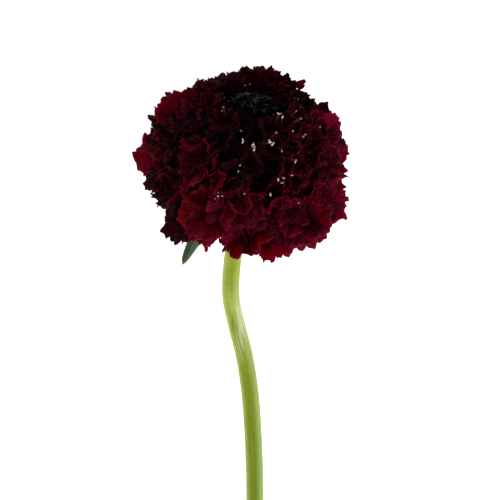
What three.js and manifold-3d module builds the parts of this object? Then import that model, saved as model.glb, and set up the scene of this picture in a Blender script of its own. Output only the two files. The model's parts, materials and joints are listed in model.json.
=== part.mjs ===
// A cut scabiosa flower, lying on a flat surface: a round head of frilled florets on a bent, ribbed stem.
// Millimetres, +Z up. The surface is z = 0. The stem runs towards -Y, and the head looks up and towards +Y.
import * as THREE from "three";
import { mergeVertices } from "three/addons/utils/BufferGeometryUtils.js";
import Module from "manifold-3d";

const wasm = await Module();
wasm.setup();

const DEGREE = Math.PI / 180;
const TURN = 2 * Math.PI;
const GOLDEN_ANGLE = Math.PI * (3 - Math.sqrt(5));

// ---- Driving dimensions ----

// The head's middle lies this far from the origin, which is under the middle of the whole flower.
const HEAD_CENTRE = new THREE.Vector3(0.6, 74.7, 27);
const HEAD_LIFT = 34 * DEGREE; // how far the face looks up from the surface
const HEAD_TURN = 8 * DEGREE; // how far it looks past the stem, towards +X

const SEAT_GAP = 0.3; // between two nodes that sit on each other
const BLADE = 0.65; // thickness of petals and bracts
const PRESSED = 2.4; // a petal nearer to the surface than this lies flat on it, under the head's weight

// Heights on the head's axis, from the head's centre.
const CORE_BASE = -6;
const CRATER_FLOOR = 15.5;
const CORE_PROFILE = [
  [0, CORE_BASE],
  [12, CORE_BASE],
  [18, -3],
  [20, 3],
  [19, 9],
  [14.6, 14.6],
  [10.4, 17],
  [8.6, CRATER_FLOOR],
  [0, CRATER_FLOOR],
];

// The florets stand in layers round the head's axis. radius and height place a floret's throat, tilt is the
// angle in degrees between its tube and the head's axis, lobe is the length of its longest lobe, and rows are
// the shares of that length at which a limb bends.
const LAYERS = [
  { count: 14, radius: 21.2, height: -7, tilt: 106, lobe: 12.1, turn: 0.5, rows: [0.55, 1] },
  { count: 12, radius: 22.8, height: 2, tilt: 84, lobe: 11.6, turn: 0.2, rows: [0.55, 1] },
  { count: 11, radius: 21.4, height: 10, tilt: 62, lobe: 9.4, turn: 0.8, rows: [1] },
  { count: 10, radius: 17.6, height: 16.6, tilt: 42, lobe: 6.9, turn: 0, rows: [1] },
  { count: 8, radius: 12.6, height: 19.8, tilt: 22, lobe: 5.4, turn: 0.5, rows: [1] },
];
// No two florets are alike: a draw changes each value by no more than this. turn and lobe are shares.
const UNEVEN = { turn: 0.2, tilt: 5 * DEGREE, radius: 1.1, height: 0.8, lobe: 0.12, roll: 14 * DEGREE };
const SUNNY_SIDE = 55 * DEGREE; // the head is fuller on this side:
const FULLER = 1.2; // its lower layers reach this much farther out there
const FULLER_LAYERS = 2;
// A few large florets stand out of the crowd. Their angles are in degrees too.
const STANDOUTS = [
  { azimuth: 172, radius: 24.2, height: 1.5, tilt: 86, lobe: 12, roll: 25 },
  { azimuth: 190, radius: 20.8, height: 12.4, tilt: 60, lobe: 9.6, roll: -20 },
  { azimuth: 348, radius: 20.4, height: 14.4, tilt: 60, lobe: 8, roll: 30 },
];
const TUBE_RADIUS = 1.2;
const TUBE_SIDES = 3;
const ROOT = { radius: 0.72, height: 0.6 }; // a tube's root in the core, as shares of its throat's place

// A floret's limb has five lobes round its throat: the first points away from the middle of the head.
const LOBES = [
  { centre: 0, half: 36, reach: 1 },
  { centre: 70, half: 34, reach: 0.88 },
  { centre: 142, half: 38, reach: 0.62 },
  { centre: 218, half: 38, reach: 0.62 },
  { centre: 290, half: 34, reach: 0.88 },
];
const SHOULDER = 0.55; // a lobe's two corners lie at this share of its half width
const CLEFT = 0.55; // reach at the cleft between two lobes, as a share of the lobe's
const LOBE_ROUNDNESS = 3;
const FLARE_START = 25 * DEGREE; // angle between limb and tube at the throat
const FLARE_END = 96 * DEGREE; // and at the margin
const WAVES = 5; // ruffles round a limb
const WAVE_HEIGHT = 0.18; // as a share of the lobe's length
const LEAN = 11 * DEGREE; // each limb leans sideways, so that neighbours lap over each other

// Pale stamens stand out on the front. Each is the place of its tip: azimuth in degrees, radius and height.
const STAMENS = [
  [94, 22.2, 19.2],
  [87, 22.6, 18.4],
  [81, 20.2, 19.2],
  [67, 19.4, 19.8],
  [68, 17.6, 21],
  [50, 18.6, 21.8],
  [41, 21.4, 19.8],
  [49, 12.6, 23.4],
  [50, 24.6, 12.2],
  [66, 27.4, 11.4],
  [94, 28.2, 12.4],
  [99, 28.4, 6.2],
  [103, 28.2, 2.6],
  [74, 29, 6.4],
  [60, 27.6, 3],
  [51, 28.2, 2.8],
];
const STAMEN_ROOT = { radius: 0.58, nearest: 11, height: 0.75, highest: 13.5 }; // shares, and limits in mm
const FILAMENT_RADIUS = 0.32;
const ANTHER_RADIUS = 0.6;

const BUD_DISC_RADIUS = 7.3;
const BUD_DISC_PROFILE = [
  [0, 0],
  [7, 0],
  [BUD_DISC_RADIUS, 1.8],
  [5.4, 3.2],
  [2.6, 3.9],
  [0, 4.1],
];
const BUD_TOP = 4.2; // the middle bud's centre, over the disc's base
const BUD_DROP = 2; // how much lower the outermost buds are
const BUD_RADIUS = 1.25;
const BUD_COUNT = 26;
const BUD_CLEARANCE = 8.7; // no petal comes nearer to the head's axis beside the buds

const COLLAR_THICKNESS = 2.4;
const COLLAR_RADIUS = 7.4;
const COLLAR_RIM = 0.9; // thickness of its edge
const BRACT_COUNT = 10;
const BRACT_TURN = 0.56; // of the first bract, as a share of the step between two
const BRACT_WIDTH = 3.3;
const BRACT_ROOT = 0.55; // width at the root, as a share
const BRACT_WIDENING = 1.6; // how fast the width grows along a bract, as a share over its length
const BRACT_TAPER = 3.2; // and how fast it falls off towards the tip
const BRACT_FOLD = 0.35; // how far the edges rise over the midrib, as a share of half the width
const BRACT_LENGTH = 20;
const BRACT_SPREAD = 66 * DEGREE; // angle between a bract and the stem
const BRACT_CURL = 22 * DEGREE; // how far a bract turns towards the stem from root to tip
const BRACT_UNEVEN = { length: 2.5, spread: 8 * DEGREE };
const HANGING_BRACT = { number: 3, length: 27.5, spread: 46 * DEGREE }; // one hangs out past the petals

const STEM_RADIUS = 2.55;
const STEM_FLARE = 0.8; // how much wider the stem is under the head
const FLARE_LENGTH = 0.025; // share of the stem along which the flare falls off
const STEM_SIDES = 12;
const STEM_RIB = 0.12;
const STEM_STEPS = 28;
const LYING = 2.3; // height of the stem's middle where it lies on the surface

// ---- The head's own frame ----

const headAxis = new THREE.Vector3(
  Math.sin(HEAD_TURN) * Math.cos(HEAD_LIFT),
  Math.cos(HEAD_TURN) * Math.cos(HEAD_LIFT),
  Math.sin(HEAD_LIFT),
);
const headRight = new THREE.Vector3(Math.cos(HEAD_TURN), -Math.sin(HEAD_TURN), 0);
// The front is the side that looks up from the surface.
const headFront = new THREE.Vector3().crossVectors(headRight, headAxis);

// A point of the head: azimuth goes from headRight towards headFront.
function headPoint(radius, azimuth, height) {
  return HEAD_CENTRE.clone()
    .addScaledVector(headRight, radius * Math.cos(azimuth))
    .addScaledVector(headFront, radius * Math.sin(azimuth))
    .addScaledVector(headAxis, height);
}

// A direction given by its angle from the head's axis and its azimuth.
function headDirection(angle, azimuth) {
  return new THREE.Vector3()
    .addScaledVector(headRight, Math.sin(angle) * Math.cos(azimuth))
    .addScaledVector(headFront, Math.sin(angle) * Math.sin(azimuth))
    .addScaledVector(headAxis, Math.cos(angle));
}

// A repeatable draw between 0 and 1 for item i.
function draw(i, which) {
  const s = Math.sin(i * 12.9898 + which * 78.233) * 43758.5453;
  return s - Math.floor(s);
}

const spread = (i, which, amount) => (2 * draw(i, which) - 1) * amount;

// ---- Solids ----

function solid(geometry) {
  const bare = geometry.index ? geometry.toNonIndexed() : geometry.clone();
  bare.deleteAttribute("normal");
  bare.deleteAttribute("uv");
  const merged = mergeVertices(bare, 1e-4);
  return new wasm.Manifold(
    new wasm.Mesh({
      numProp: 3,
      vertProperties: merged.attributes.position.array,
      triVerts: new Uint32Array(merged.index.array),
    }),
  );
}

function geometryOf(manifold) {
  const mesh = manifold.getMesh();
  const positions = new Float32Array(mesh.numVert * 3);
  for (let i = 0; i < mesh.numVert; i++)
    for (let k = 0; k < 3; k++) positions[3 * i + k] = mesh.vertProperties[i * mesh.numProp + k];
  const geometry = new THREE.BufferGeometry();
  geometry.setAttribute("position", new THREE.BufferAttribute(positions, 3));
  geometry.setIndex(new THREE.BufferAttribute(new Uint32Array(mesh.triVerts), 1));
  geometry.computeVertexNormals();
  return geometry;
}

// Joins solids. Scraps that touch nothing are dropped, and hollows that the joining seals are filled.
function fuse(solids) {
  const joined = solids.reduce((sum, next) => sum.add(next));
  return joined.decompose().reduce((a, b) => (b.volume() > a.volume() ? b : a));
}

function indexed(points, triangles) {
  const geometry = new THREE.BufferGeometry();
  geometry.setAttribute("position", new THREE.Float32BufferAttribute(points.flatMap((p) => p.toArray()), 3));
  geometry.setIndex(triangles.flat());
  return geometry;
}

// Turns an open sheet into a closed blade: both faces have the same triangles, and a rim joins them.
// A point of the sheet that would lie under the surface is pressed flat on it.
function blade(points, triangles) {
  const sheet = indexed(points, triangles);
  sheet.computeVertexNormals();
  const count = points.length;
  const face = (side) =>
    points.map((point, i) => {
      const normal = new THREE.Vector3().fromBufferAttribute(sheet.attributes.normal, i);
      const shifted = point.clone().addScaledVector(normal, (side * BLADE) / 2);
      const pressed = side * normal.z > 0 ? BLADE : 0;
      return shifted.setZ(point.z > BLADE / 2 ? Math.max(shifted.z, 0) : pressed);
    });
  const closed = triangles.flatMap(([a, b, c]) => [
    [a, b, c],
    [c + count, b + count, a + count],
  ]);
  const edges = new Set(triangles.flatMap(([a, b, c]) => [`${a},${b}`, `${b},${c}`, `${c},${a}`]));
  for (const edge of edges) {
    const [a, b] = edge.split(",").map(Number);
    if (edges.has(`${b},${a}`)) continue;
    closed.push([b, a, a + count], [b, a + count, b + count]);
  }
  return solid(indexed([...face(1), ...face(-1)], closed));
}

// A closed solid through rings of points, from the first ring to the last, with flat ends.
function loft(rings) {
  const sides = rings[0].length;
  const middle = (ring) => ring.reduce((sum, p) => sum.add(p), new THREE.Vector3()).divideScalar(sides);
  const points = [...rings.flat(), middle(rings[0]), middle(rings.at(-1))];
  const start = rings.length * sides;
  const triangles = [];
  for (let s = 0; s < sides; s++) {
    const next = (s + 1) % sides;
    for (let r = 0; r + 1 < rings.length; r++) {
      const [a, b, c, d] = [r * sides + s, r * sides + next, (r + 1) * sides + next, (r + 1) * sides + s];
      triangles.push([a, b, c], [a, c, d]);
    }
    triangles.push([start, next, s]);
    triangles.push([start + 1, start - sides + s, start - sides + next]);
  }
  return solid(indexed(points, triangles));
}

// A ring of points across a direction. Every second point stands out by rib, and the others lie in by it.
function ring(centre, along, radius, sides, rib = 0) {
  const across = new THREE.Vector3(0, 0, 1).cross(along).normalize();
  const up = new THREE.Vector3().crossVectors(along, across).normalize();
  return Array.from({ length: sides }, (_, s) => {
    const angle = ((s + 0.5) / sides) * TURN;
    const r = radius + (s % 2 ? -rib : rib);
    return centre
      .clone()
      .addScaledVector(across, r * Math.cos(angle))
      .addScaledVector(up, r * Math.sin(angle));
  });
}

// A tapered rod with flat ends.
function rod(from, to, radiusFrom, radiusTo, sides) {
  const along = new THREE.Vector3().subVectors(to, from);
  return loft([ring(from, along, radiusFrom, sides), ring(to, along, radiusTo, sides)]);
}

// A solid turned about the head's axis. profile holds [radius, height] pairs, from the lowest point up.
function turnedOnHead(profile, sides) {
  const outline = profile.map(([radius, height]) => new THREE.Vector2(radius, height));
  const place = new THREE.Matrix4().makeBasis(headRight, headAxis, headFront).setPosition(HEAD_CENTRE);
  return solid(new THREE.LatheGeometry(outline, sides).applyMatrix4(place));
}

// ---- Florets ----

// Angles are in radians from here on. level is the floret's layer, counted from the outermost.
function floret(number, level, { azimuth, radius, height, tilt, lobe, roll }) {
  return {
    level,
    lobe,
    roll,
    axis: headDirection(tilt, azimuth),
    away: headDirection(tilt + Math.PI / 2, azimuth),
    throat: headPoint(radius, azimuth, height),
    root: headPoint(ROOT.radius * radius, azimuth, ROOT.height * height),
    phase: draw(number, 7) * TURN,
  };
}

function layerFlorets() {
  let number = 0;
  return LAYERS.flatMap((layer, level) =>
    Array.from({ length: layer.count }, (_, k) => {
      const i = number++;
      const azimuth = ((k + layer.turn + spread(i, 1, UNEVEN.turn)) / layer.count) * TURN;
      const fuller = level < FULLER_LAYERS ? FULLER * Math.cos(azimuth - SUNNY_SIDE) : 0;
      return floret(i, level, {
        azimuth,
        radius: layer.radius + spread(i, 3, UNEVEN.radius) + fuller,
        height: layer.height + spread(i, 4, UNEVEN.height),
        tilt: layer.tilt * DEGREE + spread(i, 2, UNEVEN.tilt),
        lobe: layer.lobe * (1 + spread(i, 5, UNEVEN.lobe)),
        roll: spread(i, 6, UNEVEN.roll),
      });
    }),
  );
}

function standouts() {
  return STANDOUTS.map(({ azimuth, tilt, roll, ...sizes }, k) => {
    const angles = { azimuth: azimuth * DEGREE, tilt: tilt * DEGREE, roll: roll * DEGREE };
    return floret(k, 1, { ...sizes, ...angles });
  });
}

// How far the limb reaches at an angle round the throat, for a longest lobe of 1.
function limbReach(angle) {
  for (const { centre, half, reach } of LOBES) {
    const away = Math.abs(((angle / DEGREE - centre + 540) % 360) - 180) / half;
    if (away <= 1) return reach * (CLEFT + (1 - CLEFT) * (1 - away ** LOBE_ROUNDNESS));
  }
  return LOBES[0].reach * CLEFT;
}

// A point of a floret's limb: angle goes round the throat, and share from 0 at the throat to 1 at the margin.
function limbPoint(floret, angle, share) {
  const sideways = new THREE.Vector3().crossVectors(floret.axis, floret.away);
  const round = angle + floret.roll;
  const outward = new THREE.Vector3()
    .addScaledVector(floret.away, Math.cos(round))
    .addScaledVector(sideways, Math.sin(round));
  const length = floret.lobe * limbReach(angle);
  const bend = FLARE_END - FLARE_START;
  const flare = FLARE_START + bend * share;
  const forward = (length * (Math.sin(flare) - Math.sin(FLARE_START))) / bend;
  const across = (length * (Math.cos(FLARE_START) - Math.cos(flare))) / bend;
  const lean = across * Math.sin(round) * Math.tan(LEAN);
  const wave = floret.lobe * WAVE_HEIGHT * share ** 1.5 * Math.sin(WAVES * angle + floret.phase);
  return floret.throat
    .clone()
    .addScaledVector(outward, across - wave * Math.cos(flare))
    .addScaledVector(floret.axis, forward + lean + wave * Math.sin(flare));
}

// A petal bends where it meets the surface or the unopened buds.
function bentClear(point) {
  const fromCentre = point.clone().sub(HEAD_CENTRE);
  const height = fromCentre.dot(headAxis);
  const sideways = fromCentre.addScaledVector(headAxis, -height);
  if (height > CRATER_FLOOR && sideways.length() < BUD_CLEARANCE)
    point.addScaledVector(sideways, BUD_CLEARANCE / sideways.length() - 1);
  if (point.z < PRESSED) point.z = BLADE / 2;
  return point;
}

// The limb has a column of points at each corner of a lobe, and rows from the throat to the margin.
function limb(floret) {
  const { rows } = LAYERS[floret.level];
  const angles = LOBES.flatMap(({ centre, half }) =>
    [-SHOULDER, SHOULDER].map((share) => (centre + half * share) * DEGREE),
  );
  const grid = rows.map((share) => angles.map((angle) => limbPoint(floret, angle, share)));
  const columns = angles.length;
  const triangles = [];
  for (let c = 0; c < columns; c++) {
    const [a, b] = [1 + c, 1 + ((c + 1) % columns)];
    triangles.push([0, a, b]);
    if (rows.length > 1) triangles.push([a, a + columns, b + columns], [a, b + columns, b]);
  }
  return blade([limbPoint(floret, 0, 0), ...grid.flat()].map(bentClear), triangles);
}

function floretSolid(floret) {
  const throat = limbPoint(floret, 0, 0).addScaledVector(floret.axis, BLADE);
  return limb(floret).add(rod(floret.root, throat, TUBE_RADIUS, TUBE_RADIUS, TUBE_SIDES));
}

// A stamen starts in the core and widens towards its anther.
function stamen([azimuth, radius, height]) {
  const { nearest, highest } = STAMEN_ROOT;
  const rootRadius = Math.max(STAMEN_ROOT.radius * radius, nearest);
  const rootHeight = Math.min(STAMEN_ROOT.height * height, highest);
  const root = headPoint(rootRadius, azimuth * DEGREE, rootHeight);
  return rod(root, headPoint(radius, azimuth * DEGREE, height), FILAMENT_RADIUS, ANTHER_RADIUS, 3);
}

function bloom() {
  const core = turnedOnHead(CORE_PROFILE, 16);
  const florets = [...layerFlorets(), ...standouts()].map(floretSolid);
  return fuse([core, ...florets, ...STAMENS.map(stamen)]).trimByPlane([0, 0, 1], 0);
}

// ---- Unopened buds ----

function unopenedBuds() {
  const base = CRATER_FLOOR + SEAT_GAP;
  const dome = turnedOnHead(BUD_DISC_PROFILE.map(([radius, height]) => [radius, base + height]), 12);
  const buds = Array.from({ length: BUD_COUNT }, (_, k) => {
    const share = Math.sqrt((k + 0.5) / BUD_COUNT);
    const radius = (BUD_DISC_RADIUS - BUD_RADIUS) * share;
    const centre = headPoint(radius, k * GOLDEN_ANGLE, base + BUD_TOP - BUD_DROP * share ** 2);
    return solid(new THREE.IcosahedronGeometry(BUD_RADIUS, 0).translate(...centre.toArray()));
  });
  return fuse([dome, ...buds]);
}

// ---- Bracts ----

// A narrow leaf folded along its midrib.
function bract(azimuth, length, spreadAngle) {
  const shares = [0, 0.3, 0.6, 0.85, 1];
  const tip = shares.length - 1;
  const across = headDirection(Math.PI / 2, azimuth + Math.PI / 2);
  const wayAt = (share) => headDirection(Math.PI - spreadAngle + BRACT_CURL * (share - 0.5), azimuth);
  const fold = headDirection(Math.PI / 2 - spreadAngle, azimuth);
  const rib = [headPoint(COLLAR_RADIUS / 2, azimuth, CORE_BASE - SEAT_GAP - COLLAR_THICKNESS / 2)];
  for (let k = 1; k <= tip; k++)
    rib.push(rib[k - 1].clone().addScaledVector(wayAt(shares[k]), length * (shares[k] - shares[k - 1])));
  const points = shares.slice(0, tip).flatMap((share, k) => {
    const fullness = Math.min(1, BRACT_ROOT + BRACT_WIDENING * share, BRACT_TAPER * (1 - share));
    const half = (BRACT_WIDTH / 2) * fullness;
    const [left, right] = [-half, half].map((aside) =>
      rib[k].clone().addScaledVector(across, aside).addScaledVector(fold, BRACT_FOLD * half),
    );
    return [left, rib[k], right];
  });
  const triangles = [];
  for (let k = 0; k + 1 < tip; k++)
    for (const side of [0, 1]) {
      const a = 3 * k + side;
      triangles.push([a, a + 1, a + 4], [a, a + 4, a + 3]);
    }
  const last = 3 * (tip - 1);
  triangles.push([last, last + 1, last + 3], [last + 1, last + 2, last + 3]);
  points.push(rib[tip]);
  for (const point of points) point.z = Math.max(point.z, BLADE);
  return blade(points, triangles);
}

function bracts() {
  const top = CORE_BASE - SEAT_GAP;
  const collar = turnedOnHead(
    [
      [0, top - COLLAR_THICKNESS],
      [STEM_RADIUS + STEM_FLARE, top - COLLAR_THICKNESS],
      [COLLAR_RADIUS - 1, top - COLLAR_RIM],
      [COLLAR_RADIUS, top],
      [0, top],
    ],
    12,
  );
  const blades = Array.from({ length: BRACT_COUNT }, (_, k) => {
    const azimuth = ((k + BRACT_TURN) / BRACT_COUNT) * TURN;
    if (k === HANGING_BRACT.number) return bract(azimuth, HANGING_BRACT.length, HANGING_BRACT.spread);
    const length = BRACT_LENGTH + spread(k, 21, BRACT_UNEVEN.length);
    return bract(azimuth, length, BRACT_SPREAD + spread(k, 22, BRACT_UNEVEN.spread));
  });
  return fuse([collar, ...blades]);
}

// ---- Stem ----

// The stem leaves the head along its axis, sweeps down to the surface and lies along it to the cut end.
const stemPoints = [
  headPoint(0, 0, CORE_BASE - 2 * SEAT_GAP - COLLAR_THICKNESS),
  headPoint(0, 0, CORE_BASE - 2 * SEAT_GAP - COLLAR_THICKNESS - 5),
  new THREE.Vector3(-3.6, 51.7, 12.4),
  new THREE.Vector3(-3.8, 40.7, 6.6),
  new THREE.Vector3(-3.4, 31.7, 3.5),
  new THREE.Vector3(-1.4, 23.2, LYING),
  new THREE.Vector3(1.1, 12.2, LYING),
  new THREE.Vector3(2.4, 0.7, LYING),
  new THREE.Vector3(3.2, -13.3, LYING),
  new THREE.Vector3(3.4, -33.3, LYING),
  new THREE.Vector3(2.9, -57.3, LYING),
  new THREE.Vector3(2.7, -81.3, LYING),
  new THREE.Vector3(3.2, -102.9, LYING),
];

function stem() {
  const path = new THREE.CatmullRomCurve3(stemPoints, false, "centripetal");
  const rings = Array.from({ length: STEM_STEPS + 1 }, (_, k) => {
    const share = k / STEM_STEPS;
    const radius = STEM_RADIUS + STEM_FLARE * Math.exp(-share / FLARE_LENGTH);
    const section = ring(path.getPointAt(share), path.getTangentAt(share), radius, STEM_SIDES, STEM_RIB);
    return section.map((p) => p.setZ(Math.max(p.z, 0)));
  });
  return loft(rings);
}

// ---- The flower ----

function piece(name, shape, color, roughness) {
  const material = new THREE.MeshStandardMaterial({ color, roughness, metalness: 0 });
  const mesh = new THREE.Mesh(geometryOf(shape), material);
  mesh.name = name;
  return mesh;
}

const scabiosa = new THREE.Group();
scabiosa.add(
  piece("stem", stem(), 0x9fb765, 0.55),
  piece("bracts", bracts(), 0x5c7350, 0.7),
  piece("bloom", bloom(), 0x5a0a1e, 0.65),
  piece("unopened_buds", unopenedBuds(), 0x1c1418, 0.5),
);

export default scabiosa;
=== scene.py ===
# %% [markdown]
# # A cut scabiosa, lying on a pale table
# This lesson dresses four plain solids, which are stem, bracts, bloom and unopened buds, with finer pieces.
# It uses mesh code for one floret and Geometry Nodes for everything that repeats or follows a path.
# All lengths are in metres. The solids are loaded first, and each fine piece is built where its solid is.

# %% Load the solids
import json
import math

import bpy
import numpy as np
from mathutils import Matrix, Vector

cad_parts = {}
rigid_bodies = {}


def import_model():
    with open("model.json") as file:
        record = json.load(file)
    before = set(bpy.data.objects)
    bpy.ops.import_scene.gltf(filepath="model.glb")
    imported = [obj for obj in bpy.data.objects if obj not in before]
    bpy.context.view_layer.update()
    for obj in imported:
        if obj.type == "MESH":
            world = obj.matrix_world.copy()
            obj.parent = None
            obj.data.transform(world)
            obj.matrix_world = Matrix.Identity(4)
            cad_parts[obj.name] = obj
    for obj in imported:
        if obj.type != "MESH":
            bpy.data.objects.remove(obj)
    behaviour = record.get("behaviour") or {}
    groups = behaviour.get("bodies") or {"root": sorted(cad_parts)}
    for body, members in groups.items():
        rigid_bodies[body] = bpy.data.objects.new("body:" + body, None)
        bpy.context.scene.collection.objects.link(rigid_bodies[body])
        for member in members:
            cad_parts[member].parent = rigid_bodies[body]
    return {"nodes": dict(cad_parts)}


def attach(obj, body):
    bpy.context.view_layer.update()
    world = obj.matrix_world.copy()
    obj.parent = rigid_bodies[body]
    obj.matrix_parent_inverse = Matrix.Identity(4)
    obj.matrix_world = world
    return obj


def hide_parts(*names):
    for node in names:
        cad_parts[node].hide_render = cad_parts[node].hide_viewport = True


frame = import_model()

MM = 0.001
TURN = 2 * math.pi
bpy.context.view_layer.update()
print("solids:", sorted(frame["nodes"]))

# %% [markdown]
# ## The head's own directions
# The head is built round its own axis, which looks 34 degrees up from the table and a little to one side.
# Working in three directions of its own, right, front and axis, is easier than turning finished objects:
# every piece is then made in its place, and its object can stay at the origin.

# %% The head's frame
HEAD_CENTRE = Vector((0.6, 74.7, 27)) * MM
HEAD_LIFT = math.radians(34)
HEAD_TURN = math.radians(8)

head_axis = Vector((
    math.sin(HEAD_TURN) * math.cos(HEAD_LIFT),
    math.cos(HEAD_TURN) * math.cos(HEAD_LIFT),
    math.sin(HEAD_LIFT),
))
head_right = Vector((math.cos(HEAD_TURN), -math.sin(HEAD_TURN), 0))
head_front = head_right.cross(head_axis)


def head_point(radius, azimuth, height):
    """A place in the head: distance from its axis, way round from right to front, height along the axis."""
    return (
        HEAD_CENTRE
        + head_right * (radius * math.cos(azimuth))
        + head_front * (radius * math.sin(azimuth))
        + head_axis * height
    )


def head_direction(angle, azimuth):
    """A direction, by its angle from the head's axis."""
    return (
        head_right * (math.sin(angle) * math.cos(azimuth))
        + head_front * (math.sin(angle) * math.sin(azimuth))
        + head_axis * math.cos(angle)
    )


def draw(i, which):
    """A repeatable draw from 0 to 1 for item i: the far digits of a sine look random, but never change."""
    return (math.sin(i * 12.9898 + which * 78.233) * 43758.5453) % 1


def spread(i, which, amount):
    """A repeatable draw from -amount to amount."""
    return (2 * draw(i, which) - 1) * amount


print("head axis:", [round(x, 3) for x in head_axis])

# %% [markdown]
# ## Short ways to write node trees
# Shader trees and geometry trees are both made of nodes and links. Small helpers keep them readable: one
# starts a tree with named sockets, one adds a node and fills its inputs, and the others are short names for
# the nodes that come up most, such as Math, Vector Math and Set Position.

# %% Helpers for node trees
def new_tree(name, kind, inputs, outputs):
    """A tree, what comes into it and what goes out. Sockets are given as name: (type, default or None)."""
    tree = bpy.data.node_groups.new(name, kind)
    for way, sockets in (("INPUT", inputs), ("OUTPUT", outputs)):
        for socket_name, (socket_type, default) in sockets.items():
            socket = tree.interface.new_socket(
                socket_name, in_out=way, socket_type="NodeSocket" + socket_type
            )
            if default is not None:
                socket.default_value = default
    return tree, tree.nodes.new("NodeGroupInput").outputs, tree.nodes.new("NodeGroupOutput").inputs


def fill(tree, node, inputs):
    """Gives each of these inputs a value, or a link from the output of another node."""
    for key, value in inputs.items():
        if isinstance(value, bpy.types.NodeSocket):
            tree.links.new(value, node.inputs[key])
        else:
            node.inputs[key].default_value = value


def add(tree, kind, inputs=None, **settings):
    node = tree.nodes.new(kind)
    for name, value in settings.items():
        setattr(node, name, value)
    fill(tree, node, inputs or {})
    return node


def maths(tree, operation, *values, clamp=False):
    node = add(tree, "ShaderNodeMath", dict(enumerate(values)), operation=operation, use_clamp=clamp)
    return node.outputs[0]


def vectors(tree, operation, first, second=None):
    """Vector Math. SCALE takes a number as its second value, and two of the operations give a number back."""
    inputs = {0: first}
    if second is not None:
        inputs["Scale" if operation == "SCALE" else 1] = second
    node = add(tree, "ShaderNodeVectorMath", inputs, operation=operation)
    return node.outputs[1 if operation in ("LENGTH", "DOT_PRODUCT") else 0]


def split(tree, vector):
    return add(tree, "ShaderNodeSeparateXYZ", {0: vector}).outputs


def combine(tree, x, y, z):
    return add(tree, "ShaderNodeCombineXYZ", {0: x, 1: y, 2: z}).outputs[0]


def noise(tree, place, scale, detail, output="Fac"):
    node = add(tree, "ShaderNodeTexNoise", {"Vector": place, "Scale": scale, "Detail": detail})
    return node.outputs[output]


def position(tree):
    return add(tree, "GeometryNodeInputPosition").outputs[0]


def named(tree, name, kind="FLOAT"):
    """An attribute, as a geometry tree reads it."""
    return add(tree, "GeometryNodeInputNamedAttribute", {"Name": name}, data_type=kind).outputs["Attribute"]


def move(tree, geometry, **how):
    """Moves every point by an Offset, or to a Position."""
    return add(tree, "GeometryNodeSetPosition", {"Geometry": geometry, **how}).outputs[0]


def keep_above(tree, geometry, lowest):
    """Lifts the points that are lower than this up to it."""
    x, y, z = split(tree, position(tree))
    return move(tree, geometry, Position=combine(tree, x, y, maths(tree, "MAXIMUM", z, lowest)))


def painted(tree, geometry, material):
    return add(tree, "GeometryNodeSetMaterial", {"Geometry": geometry, "Material": material}).outputs[0]


# %% [markdown]
# ## Short ways to make meshes
# A mesh is a list of points and a list of faces, and an object shows it in the scene. A tree or a modifier
# makes a new mesh out of it only while it is drawn: asking for the evaluated mesh keeps that result.

# %% Helpers for meshes and objects
def new_object(name, data):
    """An object in the scene for a mesh, a curve, a light or a camera."""
    holder = bpy.data.objects.new(name, data)
    bpy.context.scene.collection.objects.link(holder)
    return holder


def new_mesh(name, points, edges=(), faces=()):
    mesh = bpy.data.meshes.new(name)
    mesh.from_pydata(points, edges, faces)
    return mesh


def store(mesh, name, values, kind="FLOAT"):
    """Keeps a value for each point, which trees and finishes can read by its name."""
    layer = mesh.attributes.new(name, kind, "POINT")
    layer.data.foreach_set("vector" if kind == "FLOAT_VECTOR" else "value", values)


def store_uv(mesh, uv):
    mesh.uv_layers.new(name="UVMap").data.foreach_set("uv", uv)


def smooth(mesh):
    mesh.polygons.foreach_set("use_smooth", [True] * len(mesh.polygons))


def profile_faces(rows, sides):
    """Faces of a closed turned shape. Its points are one pole, then the rows, then the other pole."""
    faces = []
    for s in range(sides):
        following = (s + 1) % sides
        faces.append((0, 1 + following, 1 + s))
        for row in range(rows - 1):
            low, high = 1 + row * sides, 1 + (row + 1) * sides
            faces.append((low + s, low + following, high + following, high + s))
        last = 1 + (rows - 1) * sides
        faces.append((last + s, last + following, 1 + rows * sides))
    return faces


def collect(name, meshes):
    """A collection with an object for each mesh, for a tree to pick from."""
    collection = bpy.data.collections.new(name)
    bpy.context.scene.collection.children.link(collection)
    for mesh in meshes:
        collection.objects.link(bpy.data.objects.new(mesh.name, mesh))
    return collection


def evaluated(holder):
    """The mesh that the modifiers of an object make."""
    graph = bpy.context.evaluated_depsgraph_get()
    return bpy.data.meshes.new_from_object(holder.evaluated_get(graph), depsgraph=graph)


def run_tree(name, mesh_or_curve, tree, values):
    """Runs a geometry tree on a mesh or a curve, and gives back its result as a plain mesh object."""
    source = new_object(name + "_source", mesh_or_curve)
    modifier = source.modifiers.new("nodes", "NODES")
    modifier.node_group = tree
    for socket in tree.interface.items_tree:
        if socket.in_out == "INPUT" and socket.name in values:
            modifier[socket.identifier] = values[socket.name]
    mesh = evaluated(source)
    bpy.data.objects.remove(source)
    mesh.name = name
    return new_object(name, mesh)


def thicken(piece, thickness):
    """Gives a sheet its thickness, so that every petal and leaf is a closed shell."""
    shell = piece.modifiers.new("thickness", "SOLIDIFY")
    shell.thickness = thickness
    shell.offset = 0
    mesh = evaluated(piece)
    piece.modifiers.clear()
    piece.data = mesh


def triangles(piece):
    return sum(len(face.vertices) - 2 for face in piece.data.polygons)


# %% [markdown]
# ## Patterns that several finishes share
# Petals and bracts have fine lengthwise veins, the stem has soft streaks, and nearly everything has a cloudy
# variation of colour. Each of the three patterns is a shader node group with its own inputs, built once and
# placed in every material that needs it.

# %% Shader groups: veins, clouds and streaks
def stretch(tree, value, contrast):
    """More contrast about a middle of 0.5, kept from 0 to 1."""
    apart = maths(tree, "MULTIPLY", maths(tree, "SUBTRACT", value, 0.5), contrast)
    return maths(tree, "ADD", apart, 0.5, clamp=True)


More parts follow.
